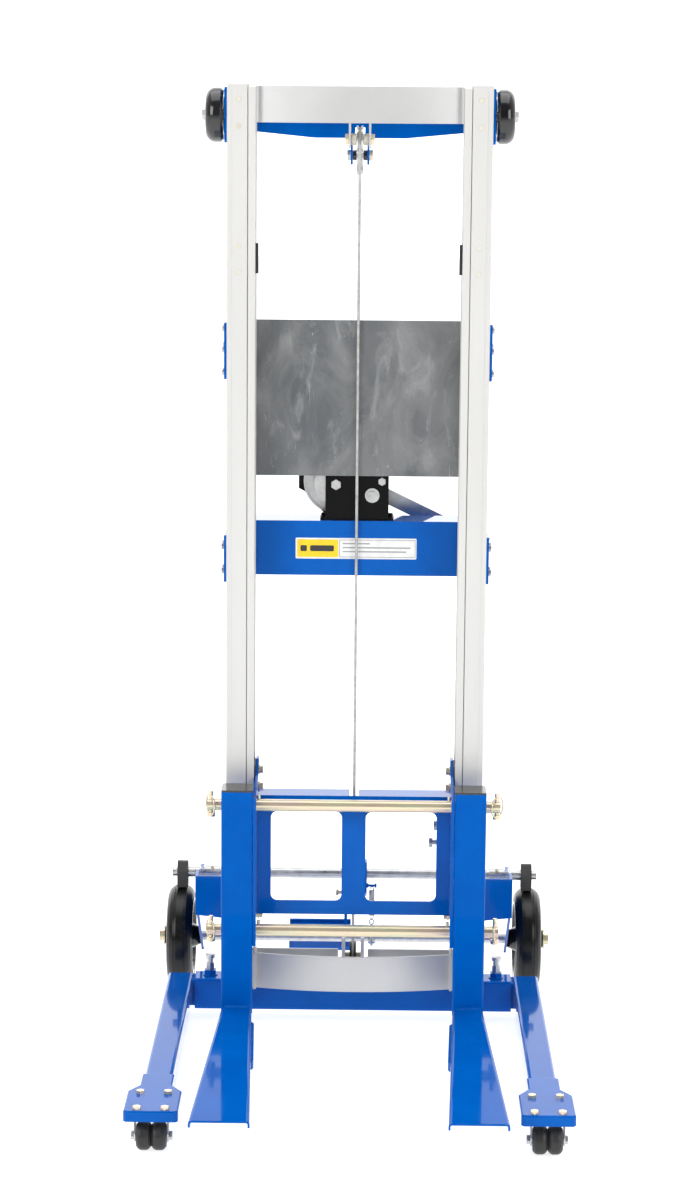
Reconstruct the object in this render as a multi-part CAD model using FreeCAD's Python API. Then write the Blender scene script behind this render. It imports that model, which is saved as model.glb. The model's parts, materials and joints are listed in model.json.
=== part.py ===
import FreeCAD, Part
import math
import os

# Hand-winch material lift, millimetres. +Z up, forks point to -Y, winch and wheels to +Y.
# Right-hand pieces are built at +X and mirrored. The origin is under the middle of the machine.

# Overall
LIFT_HEIGHT = 1784.0
AXLE_Y = 490.0
WHEEL_R = 101.6
FORK_TIP_Y = -(AXLE_Y + WHEEL_R)
RUN_GAP = 0.05          # radial running fit
SLIDE_GAP = 0.3         # gap between a glide pad and its rail

# Outer mast rails: aluminium channels open to the middle
MAST_Y = 110.0
RAIL_DEPTH = 75.0
MAST_BACK = MAST_Y + RAIL_DEPTH
RAIL_OUT = 237.7
RAIL_LIP = 201.0
RAIL_WALL = 3.5
RAIL_BOTTOM = 30.0
RAIL_STEP = 9.3         # outer strip of the front face, set back a little
RAIL_STEP_DEPTH = 1.0

# Inner mast rails: smaller channels inside the outer ones
INNER_LIP_IN = 186.3
INNER_LIP_OUT = 199.5
INNER_WEB_OUT = 229.0
INNER_WALL = 3.0
INNER_SETBACK = 6.5     # inner flange behind the outer rail's front face
INNER_BOTTOM = 105.0
INNER_TOP = 1779.0
INNER_FRONT = MAST_Y + INNER_SETBACK
INNER_BACK = MAST_BACK - INNER_SETBACK
CHANNEL_FRONT = INNER_FRONT + INNER_WALL
CHANNEL_BACK = INNER_BACK - INNER_WALL
CHANNEL_WEB = INNER_WEB_OUT - INNER_WALL

# Glide pads and buttons
PAD_X = 216.4
BUTTON_R = 4.4
PAD_HEIGHTS = ((1440.0, 1507.0), (1700.0, 1768.0))
BUTTON_INSET = 10.0
CARRIAGE_STOP_Z = (1448.0, 1502.0)

# Cross members and side plates
PLATE_T = 5.0
SIDE_PLATES = ((883.0, 970.0), (1256.0, 1359.0), (1680.0, 1779.0))
SIDE_PLATE_OUT = RAIL_OUT + PLATE_T
WINCH_BEAM_Z = (887.0, 989.0)
WINCH_BEAM_BACK = 264.0
BEAM_WALL = 4.0
REAR_CROSS_Z = (1266.0, 1350.0)
REAR_CROSS_BACK = 226.0
GUARD_Z = (1073.0, 1360.0)
GUARD_T = 1.5
TOP_PLATE_TOP = 1773.0
TOP_PLATE_EDGE_Z = 1704.0
TOP_PLATE_MID_Z = 1689.0
TOP_PLATE_FLAT = 83.0

# Base beam, legs and casters
BEAM_Y = (268.0, 324.0)
BEAM_Z = (19.0, 80.0)
BEAM_HALF = 306.0
LEG_X = (311.0, 360.0)
LEG_Z = (25.0, 75.0)
LEG_FRONT = -345.0
LEG_TRAVEL = 120.0
STUB_Y = (273.0, 319.0)
STUB_END = 150.0
STUB_WALL = 3.0
PLUNGER_X = 277.0
PLUNGER_R = 5.0
PAN_TOP = 77.5
PAN_T = 2.5
PAN_HALF = 46.5
PAN_NECK = 28.0
PAN_ROUND = 5.0
PAN_SKIRT = 19.0
PAN_FRONT = -471.0
CASTER_X = 335.8
CASTER_Y = -420.0
CASTER_TRAIL = -22.0
CASTER_R = 25.0
CASTER_TREAD = 25.0
CASTER_BOLT_DX = 23.75
CASTER_BOLT_DY = 40.0

# Rear axle, wheels and brake
BRACKET_X = (299.5, 304.5)
BRACKET_IN = 205.0
BRACKET_Z = (208.0, 285.0)
BRACKET_LOW_IN = 197.0  # the front plate reaches lower beside the mast
AXLE_R = 9.5
WHEEL_X = (320.0, 371.0)
HUB_X = (305.0, 377.5)
HUB_R = 16.0
AXLE_END = 389.0
BRAKE_Z = 233.0
BRAKE_R = 10.0
SHOE_X = (332.0, 353.0)
SHOE_BOTTOM = 205.0
SHOE_TOP = 255.0
SHOE_HALF = 16.0
SHAFT_END_R = 8.5
SHAFT_SLEEVE_X = (269.0, 297.5)
SHAFT_RING_X = (305.0, 308.5)
LEVER_X = (21.5, 25.0)
SPRING_X = 35.3
SPRING_Y = AXLE_Y - 30.0
SPRING_HOOK_Z = 216.6
SPRING_HOOK_R = 2.5
SPRING_END = 7.0
SPRING_TAB_HALF = 1.5
HOOK_END_X = 44.5
EYE_Z = 142.0
EYE_R = 4.8
EYE_WIRE_R = 1.3
EYE_STEM_Z = 93.0
PEDAL_ARM_X = (-20.0, -14.0)
PEDAL_X = (-131.0, -7.0)
PEDAL_NEAR = (529.0, 68.0)
PEDAL_FAR = (588.0, 104.0)
PEDAL_T = 3.0
PEDAL_RIM = 13.0
PEDAL_LIP = 9.0

# Transport lock bolts behind the right rail
LOCK_X = 178.0
LOCK_Z = (358.0, 424.0)
LOCK_BOLT_Y = 200.0
LOCK_BOLTS = ((375.0, 141.5), (408.0, 150.0))

# Load wheels at the mast top
LOAD_WHEEL_Y = 155.0
LOAD_WHEEL_Z = 1729.0
LOAD_WHEEL_R = 49.0
LOAD_WHEEL_X = (245.0, 276.0)
LOAD_BOLT_R = 6.0
DOME_R = 17.6
DOME_TURN = 57.4

# Wire rope and sheaves, all in the middle plane
ROPE_R = 2.5
ROPE_GAP = 0.05
CARRIAGE_ROPE_Y = 95.0
INNER_TOP_R = 20.0
INNER_LOW_R = 21.0
OUTER_TOP_R = 30.0
INNER_TOP_Y = CARRIAGE_ROPE_Y + INNER_TOP_R
INNER_ROPE_Y = INNER_TOP_Y + INNER_TOP_R
INNER_LOW_Y = INNER_ROPE_Y + INNER_LOW_R
OUTER_ROPE_Y = INNER_LOW_Y + INNER_LOW_R
OUTER_TOP_Y = OUTER_ROPE_Y + OUTER_TOP_R
WINCH_ROPE_Y = OUTER_TOP_Y + OUTER_TOP_R
INNER_TOP_Z = 1688.0
INNER_LOW_Z = 165.0
OUTER_TOP_Z = 1658.0
SHEAVE_W = 12.0
SHEAVE_RIM = 5.0        # sheave edge beyond the rope's centre line
SHEAVE_BOLT_R = 6.0

# Winch
DRUM_X = -39.0
DRUM_Z = 1056.0
DRUM_PITCH_R = 39.0
DRUM_CORE_R = DRUM_PITCH_R - ROPE_R - ROPE_GAP
DRUM_Y = (204.0, 245.5)
DRUM_FLANGE_R = 61.0
DRUM_COLLAR_R = 40.5
DRUM_RIM_W = 4.0
CRANK_X = 28.0
CRANK_Z = 1036.0
GEAR_TEETH = 58
PINION_TEETH = 14
GEAR_MODULE = math.hypot(CRANK_X - DRUM_X, CRANK_Z - DRUM_Z) * 2 / (GEAR_TEETH + PINION_TEETH)
GEAR_Y = (247.0, 255.0)
FRAME_X = (-58.5, 58.5)
FRAME_FOOT = 9.5
FRAME_WING = ((-98.7, 1034.0), (-109.5, 1039.5), (-109.5, 1090.0))
FRAME_FRONT = 195.0
FRAME_REAR = 259.0
FRAME_T = 4.0
FRAME_TOP = 1112.0
SHAFT_R = 8.0
CRANK_ARM_Y = 285.0
CRANK_ARM_T = 6.0
CRANK_ARM_LENGTH = 230.0
CRANK_ARM_WIDTH = 27.0
CRANK_FOLD = 56.0
CRANK_FOLD_RISE = 12.0
CRANK_ANGLE = -26.0
GRIP_LENGTH = 105.0
GRIP_R = 15.0

# Inner mast cross pieces
BOW_Y = 100.0
BOW_END_Y = 123.0
BOW_T = 5.0
TOP_BEAM_Z = (1716.5, 1781.5)
FOOT_Z = (110.0, 177.0)
FOOT_REAR_Y = 160.0
TAB_X = (16.0, 20.0)
WEB_X = (14.5, 21.0)
WEB_TOP = 203.0

# Carriage and forks
CARR_Y = 80.0
CARR_T = 4.0
CARR_Z = (266.0, 492.0)
CARR_HALF = 178.0
CARR_SIDE = (178.0, 184.0)
CARR_FLANGE_BACK = 133.0
WINDOW_X = (22.0, 153.0)
WINDOW_Z = (292.0, 462.0)
WINDOW_R = 12.0
NOTCH_W = 17.0
ROD_Y = 45.0
ROD_ZS = (245.0, 482.0)
ROD_R = 11.0
ROD_END = 268.5
LYNCH_X = 262.0
LUG_Y = 100.0
LUG_Z = 303.0
RING_R = 19.0
RING_TURNS = {-245.0: 64.0, 245.0: 80.0, -482.0: 64.0, 482.0: 54.0}
FORK_X = (184.3, 241.9)
FORK_FRONT = 12.0
FORK_TUBE_DEPTH = 58.0
FORK_TUBE_TOP = 513.0
BLADE_TOP = 106.0
FORK_WALL = 4.0
FORK_PLATE_T = 3.5
FORK_SKIRT = 12.0
FORK_BEND_R = 6.0
FORK_RIB_Y = (-55.0, -272.0)
FORK_RIB_T = 5.0
FORK_TIP_OUT = 265.0
FORK_TIP_IN = 163.2

X_AXIS = FreeCAD.Vector(1, 0, 0)
Y_AXIS = FreeCAD.Vector(0, 1, 0)
Z_AXIS = FreeCAD.Vector(0, 0, 1)


def vec(x, y, z):
    return FreeCAD.Vector(x, y, z)


def box(xs, ys, zs):
    """Box from (low, high) pairs."""
    size = [high - low for low, high in (xs, ys, zs)]
    return Part.makeBox(size[0], size[1], size[2], vec(xs[0], ys[0], zs[0]))


def rod(start, axis, length, radius):
    return Part.makeCylinder(radius, length, start, axis)


def tube(start, axis, length, outer, inner):
    return rod(start, axis, length, outer).cut(rod(start, axis, length, inner))


def face(points):
    corners = list(points) + [points[0]]
    return Part.Face(Part.makePolygon(corners))


def prism_x(points, x0, x1):
    """Side profile of (y, z) points, extruded along X."""
    return face([vec(x0, y, z) for y, z in points]).extrude(vec(x1 - x0, 0, 0))


def prism_y(points, y0, y1):
    """Front profile of (x, z) points, extruded along Y."""
    return face([vec(x, y0, z) for x, z in points]).extrude(vec(0, y1 - y0, 0))


def prism_z(points, z0, z1):
    """Plan profile of (x, y) points, extruded along Z."""
    return face([vec(x, y, z0) for x, y in points]).extrude(vec(0, 0, z1 - z0))


def round_edges(shape, axis, radius):
    """Fillet every straight edge parallel to axis."""
    edges = []
    for edge in shape.Edges:
        if edge.Curve.TypeId != "Part::GeomLine":
            continue
        if abs(edge.tangentAt(edge.FirstParameter).dot(axis)) > 0.999:
            edges.append(edge)
    return shape.makeFillet(radius, edges)


def mirror(shape):
    return shape.mirror(vec(0, 0, 0), X_AXIS)


def both_sides(shape):
    return [shape, mirror(shape)]


def fuse(shapes):
    first = shapes[0]
    if len(shapes) == 1:
        return first
    return first.multiFuse(shapes[1:]).removeSplitter()


def cut(shape, tools):
    for tool in tools:
        shape = shape.cut(tool)
    return shape


def hexagon(centre, axis, across, height):
    """Hexagonal prism of a given width across flats, starting at centre."""
    side = Y_AXIS if abs(axis.dot(Y_AXIS)) < 0.9 else Z_AXIS
    other = axis.cross(side)
    radius = across / math.sqrt(3)
    corners = []
    for step in range(6):
        angle = math.radians(60 * step)
        corners.append(centre + side * (radius * math.cos(angle)) + other * (radius * math.sin(angle)))
    return face(corners).extrude(axis * height)


def bolt_head(centre, axis, across=17.0, height=8.0, washer=True):
    """Hex head on its washer; centre lies on the clamped surface."""
    if not washer:
        return hexagon(centre, axis, across, height)
    disc = rod(centre, axis, 1.6, across * 0.68)
    return disc.fuse(hexagon(centre + axis * 1.6, axis, across, height))


def export(name, shapes):
    if not isinstance(shapes, list):
        shapes = [shapes]
    whole = shapes[0] if len(shapes) == 1 else Part.makeCompound(shapes)
    whole.exportStep("parts/" + name + ".step")


def export_pair(name, shape):
    export(name + "_R", shape)
    export(name + "_L", mirror(shape))


# ---------------------------------------------------------------- mast

def outer_rail():
    shell = box((RAIL_LIP, RAIL_OUT), (MAST_Y, MAST_BACK), (RAIL_BOTTOM, LIFT_HEIGHT))
    hollow = box((RAIL_LIP - 1, RAIL_OUT - RAIL_WALL), (MAST_Y + RAIL_WALL, MAST_BACK - RAIL_WALL),
                 (RAIL_BOTTOM - 1, LIFT_HEIGHT + 1))
    step = box((RAIL_OUT - RAIL_STEP, RAIL_OUT + 1), (MAST_Y - 1, MAST_Y + RAIL_STEP_DEPTH),
               (RAIL_BOTTOM - 1, LIFT_HEIGHT + 1))
    holes = []
    for z in button_heights():
        holes.append(rod(vec(PAD_X, MAST_Y - 1, z), Y_AXIS, RAIL_WALL + 2, BUTTON_R + 0.1))
    return cut(shell, [hollow, step] + holes)


def button_heights():
    heights = []
    for low, high in PAD_HEIGHTS:
        heights += [low + BUTTON_INSET, high - BUTTON_INSET]
    return heights


def inner_rail():
    zs = (INNER_BOTTOM, INNER_TOP)
    outline = box((INNER_LIP_IN, INNER_WEB_OUT), (INNER_FRONT, INNER_BACK), zs)
    hollow = box((INNER_LIP_IN - 1, CHANNEL_WEB), (CHANNEL_FRONT, CHANNEL_BACK),
                 (INNER_BOTTOM - 1, INNER_TOP + 1))
    lip = box((INNER_LIP_IN, INNER_LIP_OUT), (MAST_Y + 0.5, INNER_FRONT), zs)
    return fuse([outline.cut(hollow), lip])


def glide_pad(low, high):
    """Nylon channel liner between the two rails, with its buttons through the front flange."""
    front = box((205.0, RAIL_OUT - RAIL_WALL), (MAST_Y + RAIL_WALL, INNER_FRONT - SLIDE_GAP), (low, high))
    web = box((INNER_WEB_OUT + SLIDE_GAP, RAIL_OUT - RAIL_WALL),
              (MAST_Y + RAIL_WALL, MAST_BACK - RAIL_WALL), (low, high))
    back = box((205.0, RAIL_OUT - RAIL_WALL), (INNER_BACK + SLIDE_GAP, MAST_BACK - RAIL_WALL), (low, high))
    buttons = []
    for z in (low + BUTTON_INSET, high - BUTTON_INSET):
        buttons.append(rod(vec(PAD_X, MAST_Y - 0.8, z), Y_AXIS, RAIL_WALL + 1.5, BUTTON_R))
    return fuse([front, web, back] + buttons)


def glide_pads():
    pads = []
    for low, high in PAD_HEIGHTS:
        pads += both_sides(glide_pad(low, high))
    return pads


def inner_glide():
    """Liner at the foot of the inner rail, running inside the outer rail."""
    zs = (112.0, 158.0)
    front = box((205.0, RAIL_OUT - RAIL_WALL - SLIDE_GAP), (MAST_Y + RAIL_WALL + SLIDE_GAP, INNER_FRONT), zs)
    web = box((INNER_WEB_OUT, RAIL_OUT - RAIL_WALL - SLIDE_GAP),
              (MAST_Y + RAIL_WALL + SLIDE_GAP, MAST_BACK - RAIL_WALL - SLIDE_GAP), zs)
    back = box((205.0, RAIL_OUT - RAIL_WALL - SLIDE_GAP), (INNER_BACK, MAST_BACK - RAIL_WALL - SLIDE_GAP), zs)
    return fuse([front, web, back])


def carriage_stop():
    return box((181.0, INNER_LIP_IN), (CHANNEL_FRONT - INNER_WALL, CHANNEL_FRONT + 12.0), CARRIAGE_STOP_Z)


def inner_pads():
    return both_sides(inner_glide()) + both_sides(carriage_stop())


def side_plates():
    plates = []
    for low, high in SIDE_PLATES:
        plate = box((RAIL_OUT, SIDE_PLATE_OUT), (MAST_Y + 6, MAST_BACK), (low, high))
        plates.append(round_edges(plate, X_AXIS, 6.0))
    return plates


def side_plate_bolts():
    heads = []
    low, high = SIDE_PLATES[0]
    for z in (low + 20.0, high - 22.0):
        for y in (MAST_Y + 24.0, MAST_BACK - 18.0):
            heads.append(bolt_head(vec(SIDE_PLATE_OUT, y, z), X_AXIS, 11.0, 5.0, False))
    low, high = SIDE_PLATES[1]
    for z in (low + 12.0, high - 50.0, high - 12.0):
        for y in (MAST_Y + 24.0, MAST_BACK - 18.0):
            heads.append(bolt_head(vec(SIDE_PLATE_OUT, y, z), X_AXIS, 10.0, 4.0, False))
    rivet = rod(vec(SIDE_PLATE_OUT, MAST_Y + 24.0, high - 40.0), X_AXIS, 3.5, 4.5)
    heads.append(rivet.makeFillet(2.0, rivet.Edges[:1]))
    for z in (SIDE_PLATES[2][0] + 10.0, SIDE_PLATES[2][1] - 10.0):
        heads.append(bolt_head(vec(SIDE_PLATE_OUT, MAST_Y + 14.0, z), X_AXIS, 10.0, 1.2, False))
    return heads


def winch_beam():
    """Pressed channel, open at the back, with its ends closed against the rails."""
    half = RAIL_OUT
    outer = box((-half, half), (MAST_BACK, WINCH_BEAM_BACK), WINCH_BEAM_Z)
    inner = box((-half + BEAM_WALL, half - BEAM_WALL), (MAST_BACK + BEAM_WALL, WINCH_BEAM_BACK + 1),
                (WINCH_BEAM_Z[0] + BEAM_WALL, WINCH_BEAM_Z[1] - BEAM_WALL))
    return outer.cut(inner)


def rear_cross():
    half = RAIL_OUT
    outer = box((-half, half), (MAST_BACK + GUARD_T, REAR_CROSS_BACK), REAR_CROSS_Z)
    inner = box((-half - 1, half + 1), (MAST_BACK + GUARD_T + BEAM_WALL, REAR_CROSS_BACK + 1),
                (REAR_CROSS_Z[0] + BEAM_WALL, REAR_CROSS_Z[1] - BEAM_WALL))
    return outer.cut(inner)


def guard_plate():
    return box((-RAIL_OUT, RAIL_OUT), (MAST_BACK, MAST_BACK + GUARD_T), GUARD_Z)


def top_plate():
    """Tapered cross plate on the back of the rails, with two ears for the fixed sheave."""
    top = TOP_PLATE_TOP
    outline = [(-RAIL_OUT, top), (RAIL_OUT, top), (RAIL_OUT, TOP_PLATE_EDGE_Z),
               (TOP_PLATE_FLAT, TOP_PLATE_MID_Z), (-TOP_PLATE_FLAT, TOP_PLATE_MID_Z),
               (-RAIL_OUT, TOP_PLATE_EDGE_Z)]
    plate = prism_y(outline, MAST_BACK, MAST_BACK + PLATE_T)
    flange = box((-RAIL_OUT, RAIL_OUT), (MAST_BACK + PLATE_T, MAST_BACK + 30.0),
                 (top - PLATE_T, top))
    slot = box((-9.0, 9.0), (MAST_BACK - 1, MAST_BACK + PLATE_T + 1), (TOP_PLATE_MID_Z - 1, 1708.0))
    profile = [(MAST_BACK, 1712.0), (228.0, 1712.0), (228.0, OUTER_TOP_Z), (217.0, 1641.0),
               (197.0, 1641.0), (MAST_BACK, OUTER_TOP_Z)]
    ear = prism_x(profile, 13.0, 17.0)
    bore = rod(vec(12.0, OUTER_TOP_Y, OUTER_TOP_Z), X_AXIS, 6.0, SHEAVE_BOLT_R + RUN_GAP)
    ear = ear.cut(bore)
    return fuse([plate.cut(slot), flange] + both_sides(ear))


# ---------------------------------------------------------------- inner mast

def bow_profile(z0, z1, half):
    """Plate bowed forward in plan; its ends sit on feet against the inner rails."""
    outer = Part.Arc(vec(-half, BOW_END_Y, z0), vec(0, BOW_Y, z0), vec(half, BOW_END_Y, z0))
    back = Part.Arc(vec(half, BOW_END_Y + BOW_T, z0), vec(0, BOW_Y + BOW_T, z0),
                    vec(-half, BOW_END_Y + BOW_T, z0))
    right = Part.LineSegment(vec(half, BOW_END_Y, z0), vec(half, BOW_END_Y + BOW_T, z0))
    left = Part.LineSegment(vec(-half, BOW_END_Y + BOW_T, z0), vec(-half, BOW_END_Y, z0))
    wire = Part.Wire([outer.toShape(), right.toShape(), back.toShape(), left.toShape()])
    return Part.Face(wire).extrude(vec(0, 0, z1 - z0))


def bow_foot(z0, z1):
    return box((INNER_LIP_IN - BOW_T, INNER_LIP_IN), (MAST_Y + 2, INNER_FRONT + 14.0), (z0, z1))


def inner_top_beam():
    z0, z1 = TOP_BEAM_Z
    beam = bow_profile(z0, z1, INNER_LIP_IN - BOW_T)
    feet = both_sides(bow_foot(z0, z1))
    profile = [(BOW_Y + 1.5, z1 - 15.0), (133.0, z1 - 15.0), (133.0, INNER_TOP_Z), (124.0, 1672.0),
               (106.0, 1672.0), (BOW_Y + 1.5, 1684.0)]
    tab = prism_x(profile, TAB_X[0], TAB_X[1])
    bore = rod(vec(TAB_X[0] - 1, INNER_TOP_Y, INNER_TOP_Z), X_AXIS, 6.0, SHEAVE_BOLT_R + RUN_GAP)
    return fuse([beam] + feet + both_sides(tab.cut(bore)))


def inner_foot():
    """Bowed front plate, straight rear plate and two sheave tabs, welded into a box."""
    z0, z1 = FOOT_Z
    front = bow_profile(z0, z1, INNER_LIP_IN - BOW_T)
    feet = both_sides(box((INNER_LIP_IN - BOW_T, INNER_LIP_IN), (MAST_Y + 2, FOOT_REAR_Y + 5.0), (z0, z1)))
    rear = box((-INNER_LIP_IN + 1, INNER_LIP_IN - 1), (FOOT_REAR_Y, FOOT_REAR_Y + 5.0), (z0, z1 - 2.0))
    slot = box((-28.0, 28.0), (FOOT_REAR_Y - 1, FOOT_REAR_Y + 6.0), (134.0, z1))
    profile = [(BOW_Y + 1.5, z0 + 8), (176.0, z0 + 8), (176.0, INNER_LOW_Z + 8), (168.0, WEB_TOP),
               (138.0, WEB_TOP), (BOW_Y + 1.5, z1 - 2)]
    tab = prism_x(profile, WEB_X[0], WEB_X[1])
    bore = rod(vec(WEB_X[0] - 1, INNER_LOW_Y, INNER_LOW_Z), X_AXIS, 8.5, SHEAVE_BOLT_R + RUN_GAP)
    return fuse([front] + feet + [rear.cut(slot)] + both_sides(tab.cut(bore)))


def sheave_bolt(y, z, half):
    """Sheave axle: plain shank with a hex head and a nut outside the tabs."""
    shank = rod(vec(-half, y, z), X_AXIS, 2 * half, SHEAVE_BOLT_R)
    head = hexagon(vec(half, y, z), X_AXIS, 19.0, 6.5)
    nut = hexagon(vec(-half, y, z), -X_AXIS, 19.0, 6.5)
    return fuse([shank, head, nut])


def sheave_pin(y, z, half):
    """Plain axle pressed into both webs, flush with their outer faces."""
    return rod(vec(-half, y, z), X_AXIS, 2 * half, SHEAVE_BOLT_R)


def sheave(y, z, pitch):
    """Grooved pulley on its bolt, axis along X."""
    rim = pitch + SHEAVE_RIM
    body = rod(vec(-SHEAVE_W / 2, y, z), X_AXIS, SHEAVE_W, rim)
    groove = Part.makeTorus(pitch, ROPE_R + ROPE_GAP, vec(0, y, z), X_AXIS)
    mouth = tube(vec(-ROPE_R - ROPE_GAP, y, z), X_AXIS, 2 * (ROPE_R + ROPE_GAP), rim + 1, pitch)
    bore = rod(vec(-SHEAVE_W, y, z), X_AXIS, 2 * SHEAVE_W, SHEAVE_BOLT_R + RUN_GAP)
    return cut(body, [groove, mouth, bore])


# ---------------------------------------------------------------- wire rope

def rope_line(y, z0, z1):
    return rod(vec(0, y, z0), Z_AXIS, z1 - z0, ROPE_R)


def rope_half_turn(y, z, pitch, upper):
    ring = Part.makeTorus(pitch, ROPE_R, vec(0, y, z), X_AXIS)
    reach = pitch + 10.0
    zs = (z, z + reach) if upper else (z - reach, z)
    return ring.common(box((-reach, reach), (y - reach, y + reach), zs))


def rope_winch():
    """From the drum over the fixed sheave."""
    run = rope_line(WINCH_ROPE_Y, DRUM_Z, OUTER_TOP_Z)
    return fuse([run, rope_half_turn(OUTER_TOP_Y, OUTER_TOP_Z, OUTER_TOP_R, True)])


def rope_inner():
    """Round the low sheave, up the inner mast and over its top sheave."""
    run = rope_line(INNER_ROPE_Y, INNER_LOW_Z, INNER_TOP_Z)
    low = rope_half_turn(INNER_LOW_Y, INNER_LOW_Z, INNER_LOW_R, False)
    top = rope_half_turn(INNER_TOP_Y, INNER_TOP_Z, INNER_TOP_R, True)
    return fuse([run, low, top])


# ---------------------------------------------------------------- carriage and forks

def carriage_plate():
    plate = box((-CARR_HALF, CARR_HALF), (CARR_Y, CARR_Y + CARR_T), CARR_Z)
    top = box((-CARR_HALF, CARR_HALF), (CARR_Y, CARR_FLANGE_BACK), (CARR_Z[1] - CARR_T, CARR_Z[1]))
    low = box((-CARR_HALF, CARR_HALF), (CARR_Y, CARR_FLANGE_BACK), (CARR_Z[0], CARR_Z[0] + CARR_T))
    windows = []
    for window in both_sides(box(WINDOW_X, (CARR_Y - 1, CARR_Y + CARR_T + 1), WINDOW_Z)):
        windows.append(round_edges(window, Y_AXIS, WINDOW_R))
    half = NOTCH_W / 2
    notches = []
    for z in (CARR_Z[0], CARR_Z[1] - CARR_T):
        notches.append(box((-half, half), (CARR_Y + CARR_T, CARR_FLANGE_BACK + 1), (z - 1, z + CARR_T + 1)))
    return cut(fuse([plate, top, low]), windows + notches)


def carriage_side():
    """Side plate: carries the fork rods in front and the slide blocks inside the rail."""
    profile = [(16.0, 222.0), (60.0, 210.0), (118.0, 196.0), (172.0, 196.0), (172.0, 545.0),
               (150.0, 545.0), (118.0, 520.0), (60.0, 508.0), (16.0, 500.0)]
    plate = prism_x(profile, CARR_SIDE[0], CARR_SIDE[1])
    holes = []
    for z in ROD_ZS:
        holes.append(rod(vec(CARR_SIDE[0] - 1, ROD_Y, z), X_AXIS, 8.0, ROD_R + RUN_GAP))
    window = box((CARR_SIDE[0] - 1, CARR_SIDE[1] + 1), (100.0, 155.0), (300.0, 440.0))
    return cut(plate, holes + [round_edges(window, X_AXIS, 15.0)])


def slide_block(z0, z1):
    ys = (CHANNEL_FRONT + SLIDE_GAP, CHANNEL_BACK - SLIDE_GAP)
    block = box((CARR_SIDE[1], CHANNEL_WEB - SLIDE_GAP), ys, (z0, z1))
    hollow = box((CARR_SIDE[1] + 8, CHANNEL_WEB), (ys[0] + 8, ys[1] - 8), (z0 + 8, z1 - 8))
    return block.cut(hollow)


def carriage_slides():
    blocks = []
    for z0, z1 in ((200.0, 262.0), (478.0, 540.0)):
        blocks += both_sides(slide_block(z0, z1))
    return blocks


def fork_rods():
    rods = []
    for z in ROD_ZS:
        bar = rod(vec(-ROD_END, ROD_Y, z), X_AXIS, 2 * ROD_END, ROD_R)
        for sign in (-1, 1):
            bar = bar.cut(rod(vec(sign * LYNCH_X, ROD_Y, z - 15), Z_AXIS, 30, 4.05))
        rods.append(bar)
    return rods


def lynch_pin(z, side):
    """Cross pin with its head below, and the wire ring that snaps round the rod's end."""
    turn = math.radians(RING_TURNS[side * z])
    pin = rod(vec(LYNCH_X, ROD_Y, z - 20), Z_AXIS, 46, 4.0)
    head = rod(vec(LYNCH_X, ROD_Y, z - 22), Z_AXIS, 8, 7.5)
    plane = vec(-math.sin(turn), math.cos(turn), 0)
    ring = Part.makeTorus(RING_R, 1.5, vec(LYNCH_X + 1, ROD_Y, z), plane)
    whole = fuse([pin, head, ring])
    return whole if side > 0 else mirror(whole)


def roll_pin(z):
    return rod(vec(174.0, ROD_Y, z + ROD_R), Z_AXIS, 7.0, 3.0)


def carriage_fasteners():
    pieces = []
    for z in ROD_ZS:
        pieces += [lynch_pin(z, 1), lynch_pin(z, -1)]
        pieces += both_sides(roll_pin(z))
    for z in (215.0, 247.0, 493.0, 525.0):
        pieces += both_sides(bolt_head(vec(CARR_SIDE[0], 148.0, z), -X_AXIS, 13.0, 6.0))
    for z in (330.0, 400.0):
        pieces += both_sides(bolt_head(vec(CARR_SIDE[0], 94.0, z), -X_AXIS, 13.0, 7.0))
    anchor = box((-6.0, 6.0), (CARR_Y + CARR_T, CARR_Y + CARR_T + 6.0), (440.0, 484.0))
    pieces.append(anchor)
    lug = box((-12.0, -8.0), (CARR_Y + CARR_T, CARR_Y + 32.0), (LUG_Z - 14, LUG_Z + 14))
    bolt = rod(vec(-30.0, LUG_Y, LUG_Z), X_AXIS, 18.0, 3.0)
    head = hexagon(vec(-32.0, LUG_Y, LUG_Z), X_AXIS, 10.0, 4.5)
    pieces.append(fuse([lug, bolt, head]))
    return pieces


def fork():
    """Square tube heel with a flat tapered blade, its long edges bent down, welded to its front."""
    x0, x1 = FORK_X
    ys = (FORK_FRONT, FORK_FRONT + FORK_TUBE_DEPTH)
    low = BLADE_TOP - FORK_SKIRT
    heel = round_edges(box(FORK_X, ys, (low, FORK_TUBE_TOP)), Z_AXIS, 5.0)
    hollow = box((x0 + FORK_WALL, x1 - FORK_WALL), (ys[0] + FORK_WALL, ys[1] - FORK_WALL),
                 (BLADE_TOP, FORK_TUBE_TOP + 1))
    holes = []
    for z in ROD_ZS:
        holes.append(rod(vec(x0 - 1, ROD_Y, z), X_AXIS, x1 - x0 + 2, ROD_R + RUN_GAP))
    blade = blade_solid(0.0, FORK_FRONT + 5, FORK_TIP_Y, (low, BLADE_TOP), FORK_BEND_R)
    under = blade_solid(FORK_PLATE_T, FORK_FRONT, FORK_TIP_Y - 1, (low - 1, BLADE_TOP - FORK_PLATE_T),
                        FORK_BEND_R - FORK_PLATE_T)
    bead = prism_x([(FORK_FRONT, BLADE_TOP), (FORK_FRONT - 4, BLADE_TOP), (FORK_FRONT, BLADE_TOP + 4)],
                   x0 + 5, x1 - 5)
    return fuse([cut(heel, [hollow] + holes), blade.cut(under), bead, blade_rib()])


def blade_edge_x(y):
    """Inner long edge of the blade at a given y."""
    share = (FORK_FRONT - y) / (FORK_FRONT - FORK_TIP_Y)
    return FORK_X[0] + 1 + share * (FORK_TIP_IN - FORK_X[0] - 1)


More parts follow.
